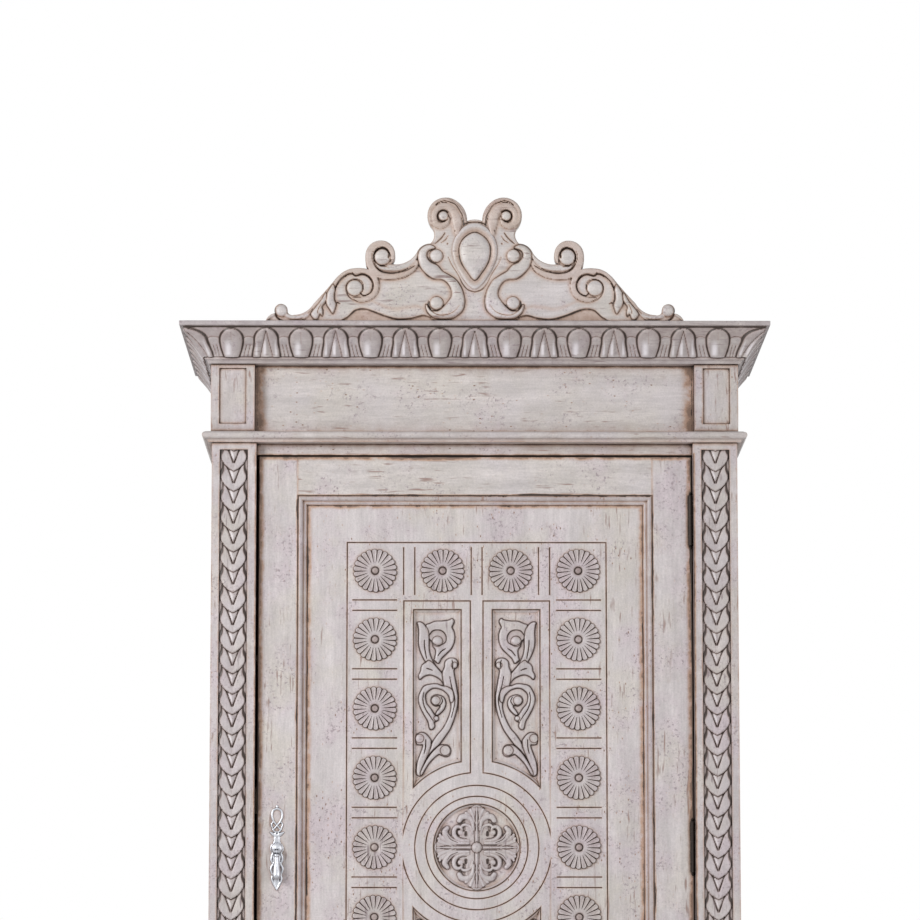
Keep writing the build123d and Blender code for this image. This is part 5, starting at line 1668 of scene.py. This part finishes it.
class BONNETIERE_OT_casework(bpy.types.Operator):
    """Finish the plain boards, rails, blocks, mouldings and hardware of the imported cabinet"""
    bl_idname = "bonnetiere.casework"
    bl_label = "Casework"

    def execute(self, context):
        softness = context.scene.bonnetiere_carving.edge_softness
        for name, node in frame["nodes"].items():
            slot = SLOT_OF[name]
            finish = FINISH_OF_SLOT[slot]
            if finish == "painted":
                finish = "glazed_paint_level" if name in LEVEL_NODES else "glazed_paint_upright"
            if name == "door_panel_moulding":
                finish = "glazed_moulding"
            elif name in ("header_rail", "upper_bead_moulding"):
                finish = "glazed_rail"
            elif name.startswith(("pilaster", "frieze_block")):
                finish = "glazed_post"
            node.data.materials.clear()
            node.data.materials.append(bpy.data.materials[finish])
            if slot in ("painted_wood", "painted_carving", "inside_wood"):
                round_edge = node.modifiers.new("rubbed_edges", "BEVEL")
                round_edge.width = softness
                round_edge.segments = 2
                round_edge.limit_method = "ANGLE"
                round_edge.angle_limit = math.radians(40)
        return {"FINISHED"}


class BONNETIERE_OT_crest(bpy.types.Operator):
    """Carve the crest board and its cartouche"""
    bl_idname = "bonnetiere.crest"
    bl_label = "Crest"

    def execute(self, context):
        grain = context.scene.bonnetiere_carving.crest_grain * 1000
        make_piece("carved_crest_board", crest_patches(grain), "cabinet",
                   "glazed_crest", ["crest_board"])
        shield = relief_patch(carve_cartouche(grain * 0.7), CREST_FACE_Y, lift=CORNICE_TOP)
        make_piece("carved_cartouche", [shield], "cabinet",
                   "glazed_crest", ["crest_cartouche"])
        return {"FINISHED"}


class BONNETIERE_OT_cornice(bpy.types.Operator):
    """Carve the three lengths of the cornice with their leaf row"""
    bl_idname = "bonnetiere.cornice"
    bl_label = "Cornice"

    def execute(self, context):
        sizes = context.scene.bonnetiere_carving
        for which in ("front", "left", "right"):
            make_piece(f"carved_cornice_{which}",
                       cornice_patches(which, sizes.strip_grain * 1000, sizes.leaf_relief * 1000),
                       "cabinet",
                       "glazed_cornice" if which == "front" else "glazed_cornice_returns",
                       [f"cornice_{which}"])
        return {"FINISHED"}


class BONNETIERE_OT_leaf_strips(bpy.types.Operator):
    """Carve the lapped leaves of both pilasters"""
    bl_idname = "bonnetiere.leaf_strips"
    bl_label = "Leaf strips"

    def execute(self, context):
        grain = context.scene.bonnetiere_carving.strip_grain * 1000
        for side in ("left", "right"):
            make_piece(f"carved_leaf_strip_{side}", [leaf_strip(f"leaf_strip_{side}", grain)],
                       "cabinet", "glazed_leaf_strip",
                       [f"leaf_strip_{side}"])
        return {"FINISHED"}


class BONNETIERE_OT_door_panel(bpy.types.Operator):
    """Cut the lines and sinkings of the door panel"""
    bl_idname = "bonnetiere.door_panel"
    bl_label = "Door panel"

    def execute(self, context):
        width = context.scene.bonnetiere_carving.groove_width * 1000
        make_piece("cut_door_panel", panel_patches(width), "door",
                   "glazed_panel", ["door_panel"], shade_smooth=False)
        return {"FINISHED"}


class BONNETIERE_OT_rosettes(bpy.types.Operator):
    """Carve the rosettes of the door panel"""
    bl_idname = "bonnetiere.rosettes"
    bl_label = "Rosettes"

    def execute(self, context):
        hand = random.Random(7)
        petals = context.scene.bonnetiere_carving.rosette_petals
        patches = [rosette_patch(place, petals, hand.uniform(0, 1)) for place in rosette_places()]
        make_piece("carved_rosettes", patches, "door",
                   "glazed_carving_upright", ["rosettes"])
        return {"FINISHED"}


class BONNETIERE_OT_medallion(bpy.types.Operator):
    """Carve the medallion"""
    bl_idname = "bonnetiere.medallion"
    bl_label = "Medallion"

    def execute(self, context):
        grain = context.scene.bonnetiere_carving.relief_grain * 1000
        make_piece("carved_medallion", [relief_patch(carve_medallion(grain * 0.8), SUNK_Y, -0.9)],
                   "door", "glazed_carving_upright", ["medallion"])
        return {"FINISHED"}


class BONNETIERE_OT_vines(bpy.types.Operator):
    """Carve the vine scrolls of the four pockets"""
    bl_idname = "bonnetiere.vines"
    bl_label = "Vine scrolls"

    def execute(self, context):
        grain = context.scene.bonnetiere_carving.relief_grain * 1000
        first = vine_patch(grain)
        right = first.mirrored(0, DESIGN_X)
        patches = [first, right, first.mirrored(2, DESIGN_Z), right.mirrored(2, DESIGN_Z)]
        make_piece("carved_vine_scrolls", patches, "door",
                   "glazed_carving_upright", ["scroll_carvings"])
        return {"FINISHED"}


class BONNETIERE_OT_pull(bpy.types.Operator):
    """Cast the plate, boss and drop of the pendant pull"""
    bl_idname = "bonnetiere.pull"
    bl_label = "Pendant pull"

    def execute(self, context):
        door_face = box_mm("pull_plate")[1][1]
        make_piece("cast_pull_plate", [relief_patch(pull_plate_patch(0.5), door_face, -0.4)],
                   "door", "cast_pewter", ["pull_plate"])
        pin_low, pin_high = box_mm("pull_pivot")
        pin = (pin_low + pin_high) / 2
        # pear-shaped drop under a small collar, with a turned tip
        drop = lathe([(0.6, -2.8), (2.2, -2.9), (5.2, -5.6), (5.4, -8.0), (4.2, -10.0),
                      (4.2, -12.0), (4.7, -18.0), (5.6, -26.0), (7.0, -34.0), (8.2, -41.0),
                      (8.2, -46.0), (6.4, -50.0), (3.2, -52.6), (0.8, -53.2)], pin)
        eye = lathe([(2.3, -2.5), (3.2, -2.4), (3.4, -1.2), (3.4, 1.2), (3.2, 2.4), (2.3, 2.5)],
                    (0, 0, 0), count=32)
        eye = Patch(eye.points[:, [2, 0, 1]] + pin, eye.faces)
        make_piece("cast_pull_drop", [drop, eye], "drop", "cast_pewter", ["pull_drop"])
        return {"FINISHED"}


class BONNETIERE_OT_screws(bpy.types.Operator):
    """Set the screws of the hinge leaves"""
    bl_idname = "bonnetiere.screws"
    bl_label = "Hinge screws"

    def execute(self, context):
        hand = random.Random(3)
        for kind, body, facing in (("frame", "cabinet", -1), ("door", "door", 1)):
            patches = []
            for level in ("lower", "middle", "upper"):
                low, high = box_mm(f"hinge_{level}_{kind}_leaf")
                x = high[0] - 2.0 if kind == "frame" else high[0]
                middle = (low[2] + high[2]) / 2
                for dy, dz in ((-7.0, -34.0), (-4.0, 0.0), (-7.0, 34.0)):
                    spot = (x, high[1] + dy, middle + dz)
                    patches.append(screw_patch(spot, facing, hand.uniform(0, 3)))
            make_piece(f"hinge_screws_{kind}", patches, body, "aged_steel")
        return {"FINISHED"}


class BONNETIERE_PT_panel(bpy.types.Panel):
    """Lists the pieces that can be made"""
    bl_idname = "BONNETIERE_PT_panel"
    bl_label = "Bonnetiere"
    bl_space_type = "VIEW_3D"
    bl_region_type = "UI"
    bl_category = "Bonnetiere"

    def draw(self, context):
        column = self.layout.column()
        for kind in OPERATORS:
            column.operator(kind.bl_idname)


OPERATORS = (
    BONNETIERE_OT_finishes, BONNETIERE_OT_stage, BONNETIERE_OT_casework, BONNETIERE_OT_crest,
    BONNETIERE_OT_cornice, BONNETIERE_OT_leaf_strips, BONNETIERE_OT_door_panel,
    BONNETIERE_OT_rosettes, BONNETIERE_OT_medallion, BONNETIERE_OT_vines, BONNETIERE_OT_pull,
    BONNETIERE_OT_screws,
)
GROUPS = (BonnetiereCarving, BonnetiereFinish, BonnetiereStudio)


def register():
    for kind in GROUPS + OPERATORS + (BONNETIERE_PT_panel,):
        bpy.utils.register_class(kind)
    bpy.types.Scene.bonnetiere_carving = PointerProperty(type=BonnetiereCarving)
    bpy.types.Scene.bonnetiere_finish = PointerProperty(type=BonnetiereFinish)
    bpy.types.Scene.bonnetiere_studio = PointerProperty(type=BonnetiereStudio)


def unregister():
    del bpy.types.Scene.bonnetiere_studio
    del bpy.types.Scene.bonnetiere_finish
    del bpy.types.Scene.bonnetiere_carving
    for kind in reversed(GROUPS + OPERATORS + (BONNETIERE_PT_panel,)):
        bpy.utils.unregister_class(kind)


def main():
    register()
    for kind in OPERATORS:
        area, name = kind.bl_idname.split(".")
        getattr(getattr(bpy.ops, area), name)()


if __name__ == "__main__":
    main()
